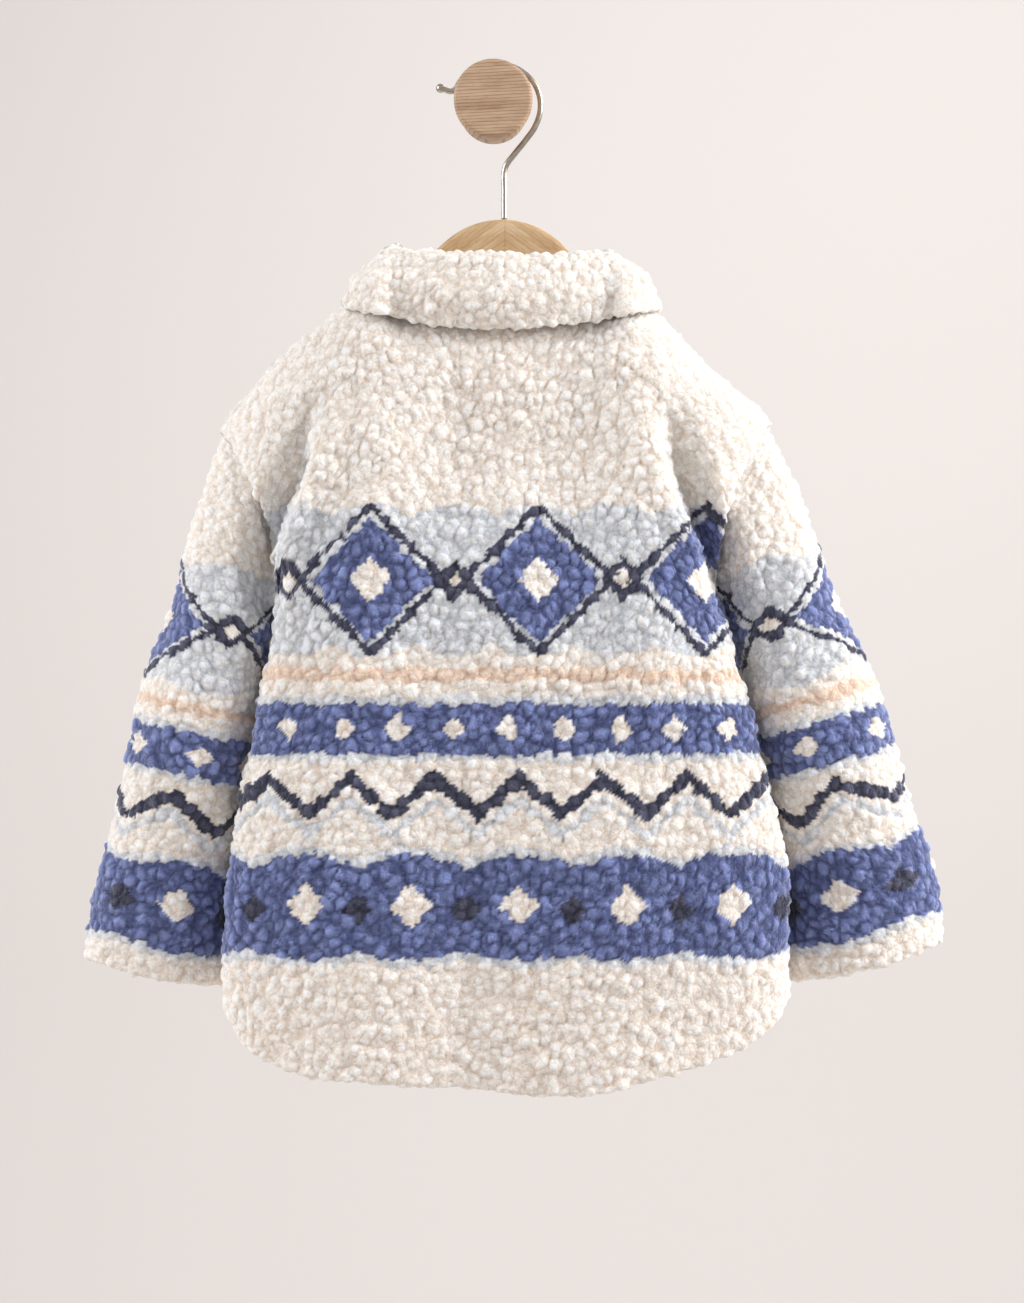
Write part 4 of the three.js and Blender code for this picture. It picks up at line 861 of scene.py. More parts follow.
def fleece_material():
    """Curly pile: the points' own colour with its painted shade and light, painted shade in the clefts
    between curls, a fine mottle that is partly painted shade between tufts, fine tufts and fibres in the
    bump, light that sinks a little way into the wool, and a soft sheen."""
    material, nodes, links, shader = new_material("fleece_pile")
    own = node(nodes, "ShaderNodeAttribute", attribute_name="pile_colour_and_shade")
    place = nodes.new("ShaderNodeTexCoord")
    tufts = node(nodes, "ShaderNodeTexNoise",
                 {"Scale": 620.0, "Detail": 2.0, "Roughness": 0.6, "Distortion": 0.6})
    fibres = node(nodes, "ShaderNodeTexNoise", {"Scale": 2100.0, "Detail": 3.0, "Roughness": 0.7})
    # fine mottle, partly random tone and partly painted shade, darker where the tufts' bump is low
    fleck = ramp(nodes, [(0.32, (0.90, 0.89, 0.88)), (0.68, (1.04, 1.04, 1.04))])
    bend = node(nodes, "ShaderNodeTexNoise", {"Scale": 260.0, "Detail": 1.0})
    shift = node(nodes, "ShaderNodeVectorMath", operation="SCALE")
    shift.inputs["Scale"].default_value = 0.0034
    moved = node(nodes, "ShaderNodeVectorMath", operation="ADD")
    edges = node(nodes, "ShaderNodeTexVoronoi", {"Scale": 235.0}, feature="DISTANCE_TO_EDGE")
    # painted shade: tan darkening along the clefts between curls
    cleft_shade = ramp(nodes, [(0.0, (0.86, 0.795, 0.72)), (0.13, (1.0, 1.0, 1.0))])
    clefts_shaded = node(nodes, "ShaderNodeMix", data_type="RGBA", blend_type="MULTIPLY")
    clefts_shaded.inputs["Factor"].default_value = 0.85
    lumps = ramp(nodes, [(0.0, (0.0, 0.0, 0.0)), (0.30, (1.0, 1.0, 1.0))])
    lumps.color_ramp.interpolation = "EASE"
    round_ = node(nodes, "ShaderNodeBump", {"Strength": 0.32, "Distance": 0.0014})
    links.new(place.outputs["Object"], bend.inputs["Vector"])
    links.new(bend.outputs["Color"], shift.inputs[0])
    links.new(place.outputs["Object"], moved.inputs[0])
    links.new(shift.outputs["Vector"], moved.inputs[1])
    links.new(moved.outputs["Vector"], edges.inputs["Vector"])
    links.new(edges.outputs["Distance"], cleft_shade.inputs["Fac"])
    links.new(edges.outputs["Distance"], lumps.inputs["Fac"])
    links.new(lumps.outputs["Color"], round_.inputs["Height"])
    tinted = node(nodes, "ShaderNodeMix", data_type="RGBA", blend_type="MULTIPLY")
    tinted.inputs["Factor"].default_value = 1.0
    low = node(nodes, "ShaderNodeBump", {"Strength": 0.3, "Distance": 0.0012})
    fine = node(nodes, "ShaderNodeBump", {"Strength": 0.5, "Distance": 0.0006})
    links.new(place.outputs["Object"], tufts.inputs["Vector"])
    links.new(place.outputs["Object"], fibres.inputs["Vector"])
    links.new(tufts.outputs["Fac"], fleck.inputs["Fac"])
    links.new(own.outputs["Color"], tinted.inputs[6])
    links.new(fleck.outputs["Color"], tinted.inputs[7])
    links.new(tinted.outputs[2], clefts_shaded.inputs[6])
    links.new(cleft_shade.outputs["Color"], clefts_shaded.inputs[7])
    links.new(clefts_shaded.outputs[2], shader.inputs["Base Color"])
    links.new(tufts.outputs["Fac"], low.inputs["Height"])
    links.new(fibres.outputs["Fac"], fine.inputs["Height"])
    links.new(round_.outputs["Normal"], low.inputs["Normal"])
    links.new(low.outputs["Normal"], fine.inputs["Normal"])
    links.new(fine.outputs["Normal"], shader.inputs["Normal"])
    shader.inputs["Roughness"].default_value = 1.0
    shader.inputs["Specular IOR Level"].default_value = 0.1
    shader.inputs["Subsurface Weight"].default_value = 0.8
    shader.inputs["Subsurface Radius"].default_value = (1.0, 0.88, 0.76)
    shader.inputs["Subsurface Scale"].default_value = 0.0055
    shader.inputs["Sheen Weight"].default_value = 0.3
    shader.inputs["Sheen Roughness"].default_value = 0.6
    return material


def grain_coordinates(nodes, links, centre, turn, stretch):
    """Object coordinates mirrored about x = centre, turned about Y and stretched along the grain."""
    place = nodes.new("ShaderNodeTexCoord")
    parts = nodes.new("ShaderNodeSeparateXYZ")
    off = node(nodes, "ShaderNodeMath", operation="SUBTRACT")
    off.inputs[1].default_value = centre
    mirrored = node(nodes, "ShaderNodeMath", operation="ABSOLUTE")
    joined = nodes.new("ShaderNodeCombineXYZ")
    turned = node(nodes, "ShaderNodeMapping", {"Rotation": (0.0, turn, 0.0)})
    lay = node(nodes, "ShaderNodeMapping", {"Scale": stretch})
    links.new(place.outputs["Object"], parts.inputs["Vector"])
    links.new(parts.outputs["X"], off.inputs[0])
    links.new(off.outputs["Value"], mirrored.inputs[0])
    links.new(mirrored.outputs["Value"], joined.inputs["X"])
    links.new(parts.outputs["Y"], joined.inputs["Y"])
    links.new(parts.outputs["Z"], joined.inputs["Z"])
    links.new(joined.outputs["Vector"], turned.inputs["Vector"])
    links.new(turned.outputs["Vector"], lay.inputs["Vector"])
    return lay.outputs["Vector"], mirrored.outputs["Value"]


def wood_material(name, pale, mid, dark, centre, turn, stretch, lines, line_tone, joint=False, gloss=0.5):
    """Wood with long grain: slow bands, thin year lines and fine pores along the grain, mirrored about the
    glued middle of the hanger."""
    material, nodes, links, shader = new_material(name)
    grain, across = grain_coordinates(nodes, links, centre, turn, stretch)
    slow = node(nodes, "ShaderNodeTexNoise",
                {"Scale": 5.0, "Detail": 4.0, "Roughness": 0.6, "Distortion": 0.4})
    years = node(nodes, "ShaderNodeTexWave",
                 {"Scale": lines, "Distortion": 2.2, "Detail": 3.0, "Detail Scale": 1.4}, bands_direction="Z")
    pores = node(nodes, "ShaderNodeTexNoise", {"Scale": 40.0, "Detail": 4.0, "Roughness": 0.75})
    tone = ramp(nodes, [(0.30, tuple(linear(dark))), (0.50, tuple(linear(mid))), (0.68, tuple(linear(pale)))])
    line = ramp(nodes, [(0.0, line_tone), (0.30, (1.0, 1.0, 1.0))])
    fleck = ramp(nodes, [(0.36, (0.78, 0.73, 0.67)), (0.50, (1.0, 1.0, 1.0))])
    first = node(nodes, "ShaderNodeMix", data_type="RGBA", blend_type="MULTIPLY")
    first.inputs["Factor"].default_value = 1.0
    second = node(nodes, "ShaderNodeMix", data_type="RGBA", blend_type="MULTIPLY")
    second.inputs["Factor"].default_value = 0.6
    rise = node(nodes, "ShaderNodeBump", {"Strength": 0.15, "Distance": 0.0003})
    for texture in (slow, years, pores):
        links.new(grain, texture.inputs["Vector"])
    links.new(slow.outputs["Fac"], tone.inputs["Fac"])
    links.new(years.outputs["Fac"], line.inputs["Fac"])
    links.new(pores.outputs["Fac"], fleck.inputs["Fac"])
    links.new(tone.outputs["Color"], first.inputs[6])
    links.new(line.outputs["Color"], first.inputs[7])
    links.new(first.outputs[2], second.inputs[6])
    links.new(fleck.outputs["Color"], second.inputs[7])
    colour = second.outputs[2]
    if joint:
        seam = ramp(nodes, [(0.14, (0.82, 0.76, 0.70)), (0.28, (1.0, 1.0, 1.0))])
        near = node(nodes, "ShaderNodeMath", operation="MULTIPLY")
        near.inputs[1].default_value = 1000.0
        third = node(nodes, "ShaderNodeMix", data_type="RGBA", blend_type="MULTIPLY")
        third.inputs["Factor"].default_value = 1.0
        links.new(across, near.inputs[0])
        links.new(near.outputs["Value"], seam.inputs["Fac"])
        links.new(colour, third.inputs[6])
        links.new(seam.outputs["Color"], third.inputs[7])
        colour = third.outputs[2]
    links.new(colour, shader.inputs["Base Color"])
    links.new(pores.outputs["Fac"], rise.inputs["Height"])
    links.new(rise.outputs["Normal"], shader.inputs["Normal"])
    shader.inputs["Roughness"].default_value = gloss
    return material


def wire_material():
    """Satin nickel wire with fine drawing marks."""
    material, nodes, links, shader = new_material("satin_nickel")
    place = nodes.new("ShaderNodeTexCoord")
    marks = node(nodes, "ShaderNodeTexNoise", {"Scale": 260.0, "Detail": 4.0, "Roughness": 0.7})
    tone = ramp(nodes, [(0.3, tuple(linear((168, 158, 146)))), (0.7, tuple(linear((206, 197, 186))))])
    rough = node(nodes, "ShaderNodeMapRange", {"To Min": 0.24, "To Max": 0.38})
    links.new(place.outputs["Object"], marks.inputs["Vector"])
    links.new(marks.outputs["Fac"], tone.inputs["Fac"])
    links.new(marks.outputs["Fac"], rough.inputs["Value"])
    links.new(tone.outputs["Color"], shader.inputs["Base Color"])
    links.new(rough.outputs["Result"], shader.inputs["Roughness"])
    shader.inputs["Metallic"].default_value = 1.0
    return material


def button_material():
    """Cream button of cast resin with slow cloudy streaks."""
    material, nodes, links, shader = new_material("button_resin")
    place = nodes.new("ShaderNodeTexCoord")
    cloud = node(nodes, "ShaderNodeTexNoise", {"Scale": 170.0, "Detail": 3.0, "Distortion": 1.4})
    tone = ramp(nodes, [(0.35, tuple(linear((206, 190, 164)))), (0.65, tuple(linear((236, 226, 208))))])
    links.new(place.outputs["Object"], cloud.inputs["Vector"])
    links.new(cloud.outputs["Fac"], tone.inputs["Fac"])
    links.new(tone.outputs["Color"], shader.inputs["Base Color"])
    shader.inputs["Roughness"].default_value = 0.35
    return material


def plain_material(name, colour, rough=0.9):
    """Plain matt colour of the stage."""
    material, _, _, shader = new_material(name)
    shader.inputs["Base Color"].default_value = (*linear(colour), 1)
    shader.inputs["Roughness"].default_value = rough
    shader.inputs["Specular IOR Level"].default_value = 0.1
    return material


# ---- settings ----

class JacketFleece(bpy.types.PropertyGroup):
    """Sizes and colours of the fleece."""
    curl_size: bpy.props.FloatProperty(
        name="Curl size", description="Distance between curls of the pile", default=0.0059, min=0.003,
        max=0.02,
        subtype="DISTANCE", unit="LENGTH", precision=4)
    pile_height: bpy.props.FloatProperty(
        name="Pile height", description="Height of a middling curl", default=PILE_HIGH * MM, min=0.001,
        max=0.01,
        subtype="DISTANCE", unit="LENGTH", precision=4)
    pile_foot: bpy.props.FloatProperty(
        name="Pile foot", description="Depth of the pile's foot below the cloth's face",
        default=PILE_FOOT * MM,
        min=0.0, max=0.006, subtype="DISTANCE", unit="LENGTH", precision=4)
    cream: bpy.props.FloatVectorProperty(
        name="Cream", description="Ground colour", size=3, subtype="COLOR_GAMMA", min=0, max=1,
        default=(0.978, 0.970, 0.966))
    pale_blue: bpy.props.FloatVectorProperty(
        name="Pale blue", description="Colour of the wide pale bands", size=3, subtype="COLOR_GAMMA", min=0,
        max=1,
        default=(0.90, 0.915, 0.94))
    mid_blue: bpy.props.FloatVectorProperty(
        name="Mid blue", description="Colour of lozenges and blue bands", size=3, subtype="COLOR_GAMMA",
        min=0,
        max=1, default=(0.435, 0.495, 0.715))
    charcoal: bpy.props.FloatVectorProperty(
        name="Charcoal blue", description="Colour of zigzag and peaks", size=3, subtype="COLOR_GAMMA", min=0,
        max=1, default=(0.27, 0.285, 0.39))
    peach: bpy.props.FloatVectorProperty(
        name="Peach", description="Colour of the thin line", size=3, subtype="COLOR_GAMMA", min=0, max=1,
        default=(0.945, 0.87, 0.815))


class JacketFittings(bpy.types.PropertyGroup):
    """Sizes of hook wire and buttons that only the looks need."""
    wire_steps: bpy.props.IntProperty(
        name="Wire steps", description="Rings along the hook wire", default=220, min=60, max=400)
    button_rim: bpy.props.FloatProperty(
        name="Button rim", description="Width of the raised rim of a button", default=0.0016, min=0.0005,
        max=0.004,
        subtype="DISTANCE", unit="LENGTH", precision=4)


class JacketStage(bpy.types.PropertyGroup):
    """Light, floor and camera."""
    key_power: bpy.props.FloatProperty(
        name="Key light", description="Power of the large soft light at the upper right", default=82.0, min=0,
        max=2000, unit="POWER")
    fill_power: bpy.props.FloatProperty(
        name="Fill light", description="Power of the soft light at the left", default=49.0, min=0, max=2000,
        unit="POWER")
    backdrop_power: bpy.props.FloatProperty(
        name="Backdrop light", description="Power of the light on the backdrop", default=50.0, min=0,
        max=2000,
        unit="POWER")
    sky: bpy.props.FloatProperty(
        name="Room light", description="Strength of the even light from all round", default=0.57, min=0,
        max=5)
    camera_distance: bpy.props.FloatProperty(
        name="Camera distance", description="Distance of the camera from the wall", default=2.0, min=0.5,
        max=10,
        subtype="DISTANCE", unit="LENGTH")


# ---- pieces ----

def panel_number(centre):
    """Pattern on back and fronts: across by x, down by height below the yoke."""
    return bands(centre[..., 0], YOKE_Z - centre[..., 2])


def sink(face, uu, vv, p):
    """Moves a grid of the back in by the valleys, less at the seams, where the sleeve's edge follows."""
    if face > 0:
        return
    c = np.clip((vv - ARMHOLE_FROM) / (1 - ARMHOLE_FROM) * 2 - 1, -1, 1)
    seam = soft(np.sqrt(1 - c * c) / 0.35)
    p[..., 1] += valley(p[..., 0], p[..., 2]) * mix(1, seam, soft((np.abs(uu) - 0.9) / 0.1))


def even_columns(face, low_u, high_u, cols):
    """Shares across a panel for even widths between columns, from the mean square width over its height."""
    u = np.linspace(low_u, high_u, 161)
    vv, uu = np.meshgrid(np.linspace(0.05, 1, 24), u, indexing="ij")
    wide = np.linalg.norm(np.diff(panel(face, uu, vv), axis=1), axis=2)
    lengths = np.concatenate([[0], np.cumsum(np.sqrt((wide ** 2).mean(0)))])
    return np.interp(np.linspace(0, lengths[-1], cols), lengths, u)


def even_out(p, weight, rounds):
    """Softens creases of a grid of points: each moves towards the middle of its two neighbours along the
    row, by its weight, over and over."""
    for _ in range(rounds):
        middle = (p[:, 2:] + p[:, :-2]) / 2
        p[:, 1:-1] = mix(p[:, 1:-1], middle, weight[:, 1:-1, None])


def make_panel(name, face, low_u, high_u, cols, rows, settings, material, set_in=None):
    """One panel of the torso between two shares across, with its pile, hem and inner side."""
    u = even_columns(face, low_u, high_u, cols)
    v = np.linspace(HEM_START, 1.0, rows)
    vv, uu = np.meshgrid(v, u, indexing="ij")
    p = panel(face, uu, vv)
    sink(face, uu, vv, p)
    top = top_edge(face, uu)[2]
    even_out(p, 0.5 * soft((top - p[..., 2] - 3) / 12) * soft((0.8 - np.abs(uu)) / 0.1), CREASE_ROUNDS)
    if set_in is not None:
        p[..., 1] -= face * set_in(uu)
    n = grid_normals(p) * (1 if face < 0 else -1)
    n = unit(mix(n, top_normal(face, uu), (1 - soft((1 - vv) / 0.012))[..., None]))
    keep = np.abs(uu) > 0.9999
    towards = unit(panel(face, uu * 0.995, vv) - panel(face, uu, vv)) * (SEAM / 2)
    p = np.where(keep[..., None], p + towards, p)
    on_seam = (vv == 1) & (top_edge(face, uu)[3] < 1e-4)
    p[..., 1] += np.where(on_seam, face * SEAM / 2, 0)
    iu = even_columns(face, low_u, high_u, 71)
    iv = np.linspace(HEM_START + 0.012, 1.0, 60)
    ivv, iuu = np.meshgrid(iv, iu, indexing="ij")
    q = panel(face, iuu, ivv)
    sink(face, iuu, ivv, q)
    if set_in is not None:
        q[..., 1] -= face * set_in(iuu)
    inner = q - panel_normal(face, iuu, ivv) * (WALL - INNER_EASE)
    return fleece_piece(name, p, n, inner, WALL, settings, panel_number, material=material)


def declare(obj, node_name):
    """Hangs a piece of cloth under the root body and hides the solid it replaces."""
    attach(obj, "root")
    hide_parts(node_name)


def shared_fleece():
    """The fleece material, made once."""
    return bpy.data.materials.get("fleece_pile") or fleece_material()


class JACKET_OT_back(bpy.types.Operator):
    """Make the back panel of curly fleece"""
    bl_idname = "jacket.back"
    bl_label = "Back"

    def execute(self, context):
        s = context.scene.jacket_fleece
        obj = make_panel("fleece_back", -1, -1, 1, *BACK_GRID, s, shared_fleece())
        declare(obj, "back")
        return {"FINISHED"}


class JACKET_OT_fronts(bpy.types.Operator):
    """Make the two fronts, the left one lapped over the right"""
    bl_idname = "jacket.fronts"
    bl_label = "Fronts"

    def execute(self, context):
        s = context.scene.jacket_fleece
        left = make_panel("fleece_front_left", 1, -1, LAP, *FRONT_GRID, s, shared_fleece())
        right = make_panel("fleece_front_right", 1, -LAP, 1, *FRONT_GRID, s, shared_fleece(),
                           set_in=lambda u: LAP_STEP * (1 - soft((u - LAP - 0.09) / 0.16)))
        declare(left, "front_left")
        declare(right, "front_right")
        return {"FINISHED"}


def sunk_sleeve(side, k, angle):
    """A sleeve's grid of points, its upper half moved in by the valleys as the back is."""
    p = sleeve(side, k, angle)
    p[..., 1] += valley(p[..., 0], p[..., 2]) * soft(np.sin(np.radians(angle)) / 0.35)
    return p


def outward(p):
    """Directions across a closed grid of points, away from the middles of its rings."""
    n = grid_normals(p, True)
    return -n if ((p - p.mean(1, keepdims=True)) * n).sum() < 0 else n


class JACKET_OT_sleeves(bpy.types.Operator):
    """Make both sleeves with rolled cuffs"""
    bl_idname = "jacket.sleeves"
    bl_label = "Sleeves"

    def execute(self, context):
        s = context.scene.jacket_fleece
        for side, name in enumerate(("left", "right")):
            out = (-1.0, 1.0)[side]
            cols, rows = SLEEVE_GRID
            k = np.linspace(0.986, 0.0, rows)
            angle = np.linspace(0, 360, cols, endpoint=False)
            kk, aa = np.meshgrid(k, angle, indexing="ij")
            p = sunk_sleeve(side, kk, aa)
            p[-1] += unit(p[-6] - p[-1]) * (SEAM / 2)
            n = outward(p)
            ik, ia = np.meshgrid(np.linspace(0.974, 0.0, 42), np.linspace(0, 360, 40, endpoint=False),
                                 indexing="ij")
            q = sunk_sleeve(side, ik, ia)
            m = outward(q)
            near = (1 - soft(ik / 0.1))[..., None]
            facing = np.where(np.sin(np.radians(ia)) >= 0, -1.0, 1.0)
            rim = armhole_normal(out * np.ones_like(ia), np.cos(np.radians(ia)), facing)
            inner = q - unit(mix(m, rim, near)) * (WALL - INNER_EASE)
            tip = np.array([TIP[side][0], HANG_Y, TIP[side][1]])
            under = np.array([UNDER[side][0], UNDER_Y, UNDER[side][1]])
            top = tip / 2 + under / 2
            end = p[0].mean(0)
            axis = unit(end - top)
            across = unit(np.cross(axis, np.array([0, 1.0, 0]))) * out

            def number_at(centre, top=top, axis=axis, across=across):
                d = centre - top
                t = d @ axis
                turn = np.arctan2(-d[..., 1], d @ across)
                wide, across_from, stretch, down_from = SLEEVE_PATTERN
                return bands(turn / (2 * np.pi) * wide + across_from, t * stretch - down_from)

            obj = fleece_piece(f"fleece_sleeve_{name}", p, n, inner, WALL, s, number_at, around=True,
                               material=shared_fleece())
            declare(obj, f"sleeve_{name}")
        return {"FINISHED"}


class JACKET_OT_collar(bpy.types.Operator):
    """Make the collar, one leaf that stands, folds and falls outside"""
    bl_idname = "jacket.collar"
    bl_label = "Collar"

    def execute(self, context):
        s = context.scene.jacket_fleece
        turn = np.linspace(-COLLAR_END, COLLAR_END, COLLAR_GRID[0])
        q = np.linspace(0.972, 0.0, COLLAR_GRID[1])
        p = collar(turn, q).transpose(1, 0, 2)
        n = grid_normals(p)
        if (n[8:24, 150:230, 1]).mean() > 0:
            n = -n
        iq = np.linspace(0.955, 0.0, 40)
        it = np.linspace(-COLLAR_END, COLLAR_END, 121)
        c = collar(it, iq).transpose(1, 0, 2)
        m = grid_normals(c)
        if (m[2:9, 50:70, 1]).mean() > 0:
            m = -m
        half = COLLAR_WALL / 2
        outer = p + n * half
        inner = c - m * half
        obj = fleece_piece("fleece_collar", outer, n, inner, COLLAR_WALL, s,
                           lambda seat: np.zeros(seat.shape[:-1], int),
                           edge_fade=(("left", 0.006), ("right", 0.006)), material=shared_fleece())
        declare(obj, "collar")
        return {"FINISHED"}


class JACKET_OT_buttons(bpy.types.Operator):
    """Make the five buttons with raised rims and four sunk holes"""
    bl_idname = "jacket.buttons"
    bl_label = "Buttons"

    def execute(self, context):
        rim = context.scene.jacket_fittings.button_rim / MM
        material = button_material()
        for i in range(len(BUTTON_Z)):
            low, high = (np.array(corner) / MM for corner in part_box(f"button_{i + 1}"))
            x, z = (low[0] + high[0]) / 2, (low[2] + high[2]) / 2
            back, front = low[1], high[1]
            thick = front - back
            r = np.concatenate([np.linspace(0.02, 1, 26), np.ones(4), np.linspace(1, 0.02, 10)]) * BUTTON_R
            bow = np.concatenate([np.full(26, 1.0), np.linspace(0.8, 0.1, 4), np.zeros(10)])
            a = np.linspace(0, 2 * np.pi, 56, endpoint=False)
            rr, aa = np.meshgrid(r, a, indexing="ij")
            px, pz = rr * np.cos(aa), rr * np.sin(aa)
            dish = 0.9 * (1 - soft((rr - (BUTTON_R - 2 * rim)) / rim))
            hole = np.exp(-(((np.abs(px) - 1.7) ** 2 + (np.abs(pz) - 1.7) ** 2) / 0.55) ** 2)
            edge = 0.5 * soft((rr - BUTTON_R + 0.9) / 0.9) ** 2
            face = thick - dish - 1.1 * hole - edge
            y = np.where(bow[:, None] == 1, face, np.where(bow[:, None] > 0, bow[:, None] * (thick - 0.5), 0))
            points = np.stack([x + px, back + y, z + pz], -1)
            obj = capped_tube(f"button_face_{i + 1}", points, material)
            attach(obj, "root")
            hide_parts(f"button_{i + 1}")
        return {"FINISHED"}


def hanger_top(x):
    """Height of the hanger's upper edge below the crown: an arch that runs into straight arms."""
    slope = np.radians(HANGER_SLOPE)
    a = np.abs(x)
    arch = -(HANGER_ARCH - np.sqrt(np.maximum(0, HANGER_ARCH ** 2 - np.minimum(a, HANGER_ARCH) ** 2)))
    arm = -HANGER_ARCH * (1 - np.cos(slope)) - (a - HANGER_ARCH * np.sin(slope)) * np.tan(slope)
    return np.where(a < HANGER_ARCH * np.sin(slope), arch, arm)


class JACKET_OT_hanger(bpy.types.Operator):
    """Make the wooden hanger with softened edges and arms that taper to round ends"""
    bl_idname = "jacket.hanger"
    bl_label = "Hanger"

    def execute(self, context):
        x = np.concatenate([[-HANGER_HALF, -HANGER_HALF + 0.25, -HANGER_HALF + 0.7],
                            np.linspace(-HANGER_HALF + 1.4, HANGER_HALF - 1.4, 150),
                            [HANGER_HALF - 0.7, HANGER_HALF - 0.25, HANGER_HALF]])
        arm = soft((np.abs(x) - 12) / 40)
        tall = mix(HANGER_TALL + 3, HANGER_TALL / np.cos(np.radians(HANGER_SLOPE)), arm)
        end = np.sqrt(np.maximum(0.02, 1 - np.clip((np.abs(x) - HANGER_HALF + 9) / 9, 0, 1) ** 2))
        top = hanger_top(x)
        half = tall / 2 * mix(0.25, 1, end)
        edge = np.minimum(HANGER_EDGE, half * 0.9)
        thick = HANGER_THICK / 2 * mix(0.55, 1, end)
        ring = []
        for sy, sz, start in ((1, 1, 0), (-1, 1, 90), (-1, -1, 180), (1, -1, 270)):
            for a in np.linspace(0, 90, 9):
                t = np.radians(start + a)
                ring.append(np.stack([
                    x, sy * (thick - HANGER_EDGE * 0.9) + HANGER_EDGE * 0.9 * np.cos(t),
                    top - tall / 2 + sz * (half - edge) + edge * np.sin(t)], -1))
        rings = np.stack(ring, 1)
        tilt = np.radians(HANGER_TILT)
        turned = np.stack([rings[..., 0] * np.cos(tilt) + rings[..., 2] * np.sin(tilt), rings[..., 1],
                           rings[..., 2] * np.cos(tilt) - rings[..., 0] * np.sin(tilt)], -1)
        wood = wood_material("hanger_beech", (214, 188, 153), (199, 168, 129), (180, 144, 105),
                             HANGER_X * MM, -0.62, (9.0, 30.0, 40.0), 4.0, (0.90, 0.87, 0.83), joint=True,
                             gloss=0.42)
        obj = capped_tube("hanger_wood", turned + np.array([HANGER_X, HANG_Y, HANGER_TOP]), wood)
        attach(obj, "root")
        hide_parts("hanger")
        return {"FINISHED"}


def smooth_path(points, steps):
    """A smooth line through points at even distances: centripetal knots, cubic pieces, then evened out."""
    p = np.array(points, float)
    p = np.concatenate([[2 * p[0] - p[1]], p, [2 * p[-1] - p[-2]]])
    knots = np.concatenate([[0], np.cumsum(np.sqrt(np.linalg.norm(np.diff(p, axis=0), axis=1)))])
    fine = []
    for i in range(1, len(p) - 2):
        t0, t1, t2, t3 = knots[i - 1:i + 3]
        t = np.linspace(t1, t2, 24, endpoint=False)[:, None]
        a1 = (t1 - t) / (t1 - t0) * p[i - 1] + (t - t0) / (t1 - t0) * p[i]
        a2 = (t2 - t) / (t2 - t1) * p[i] + (t - t1) / (t2 - t1) * p[i + 1]
        a3 = (t3 - t) / (t3 - t2) * p[i + 1] + (t - t2) / (t3 - t2) * p[i + 2]
        b1 = (t2 - t) / (t2 - t0) * a1 + (t - t0) / (t2 - t0) * a2
        b2 = (t3 - t) / (t3 - t1) * a2 + (t - t1) / (t3 - t1) * a3
        fine.append((t2 - t) / (t2 - t1) * b1 + (t - t1) / (t2 - t1) * b2)
    fine = np.concatenate(fine + [p[-2][None]])
    length = np.concatenate([[0], np.cumsum(np.linalg.norm(np.diff(fine, axis=0), axis=1))])
    even = np.linspace(0, length[-1], steps)
    return np.stack([np.interp(even, length, fine[:, i]) for i in range(p.shape[1])], -1)


class JACKET_OT_hook(bpy.types.Operator):
    """Make the hook of round wire with a small ball at its tip"""
    bl_idname = "jacket.hook"
    bl_label = "Hook"

    def execute(self, context):
        steps = context.scene.jacket_fittings.wire_steps
        line = smooth_path(WIRE_PATH, steps)
        middle = np.stack([line[:, 0], np.full(steps, HANG_Y), line[:, 1]], -1)
        along_wire = unit(np.gradient(middle, axis=0))
        radius = np.full(steps, WIRE_R)
        ball = np.linspace(0.25, 4.9, 12)
        middle = np.concatenate([middle, middle[-1] + along_wire[-1] * ball[:, None]])
        along_wire = np.concatenate([along_wire, np.repeat(along_wire[-1:], len(ball), 0)])
        size = np.sqrt(np.maximum(0.05, 1 - ((ball - 2.5) / 2.5) ** 2)) * TIP_R
        radius = np.concatenate([radius, np.maximum(size, np.where(ball < 1.6, WIRE_R, 0.3))])
        side = unit(np.cross(along_wire, np.array([0, 1.0, 0])))
        a = np.linspace(0, 2 * np.pi, 20, endpoint=False)
        rings = middle[:, None] + radius[:, None, None] * (
            side[:, None] * np.cos(a)[None, :, None] + np.array([0, 1.0, 0]) * np.sin(a)[None, :, None])
        obj = capped_tube("hook_wire", rings, wire_material())
        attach(obj, "root")
        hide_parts("hook")
        return {"FINISHED"}


class JACKET_OT_peg(bpy.types.Operator):
    """Turn the round wall peg with its neck and softly rounded disc"""
    bl_idname = "jacket.peg"
    bl_label = "Peg"

    def execute(self, context):
        def arc(cx, cy, r, start, end, count=10):
            t = np.radians(np.linspace(start, end, count))
            return np.stack([cx + r * np.cos(t), cy + r * np.sin(t)], -1).tolist()
        e = PEG_EDGE
        face = [[r, -PEG_FACE_Y] for r in np.linspace(PEG_R - e - 0.6, 1.0, 12)]
        profile = [[0, 0], [PEG_NECK_R - 0.4, 0], [PEG_NECK_R, 0.3], [PEG_NECK_R, -PEG_DISC_Y - 0.6],
                   [PEG_NECK_R + 0.6, -PEG_DISC_Y], *arc(PEG_R - 1, -PEG_DISC_Y + 1, 1, -90, 0),
                   *arc(PEG_R - e, -PEG_FACE_Y - e, e, 0, 90), *face, [0, -PEG_FACE_Y]]
        oak = wood_material("peg_oak", (200, 172, 145), (187, 157, 130), (168, 136, 108), -0.2, 0.05,
                            (5.0, 8.0, 36.0), 5.0, (0.66, 0.58, 0.50), gloss=0.6)
        obj = revolve("peg_disc", profile, 128, (0, 0, 0), -1.0, oak)
        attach(obj, "root")
        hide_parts("peg")
        return {"FINISHED"}


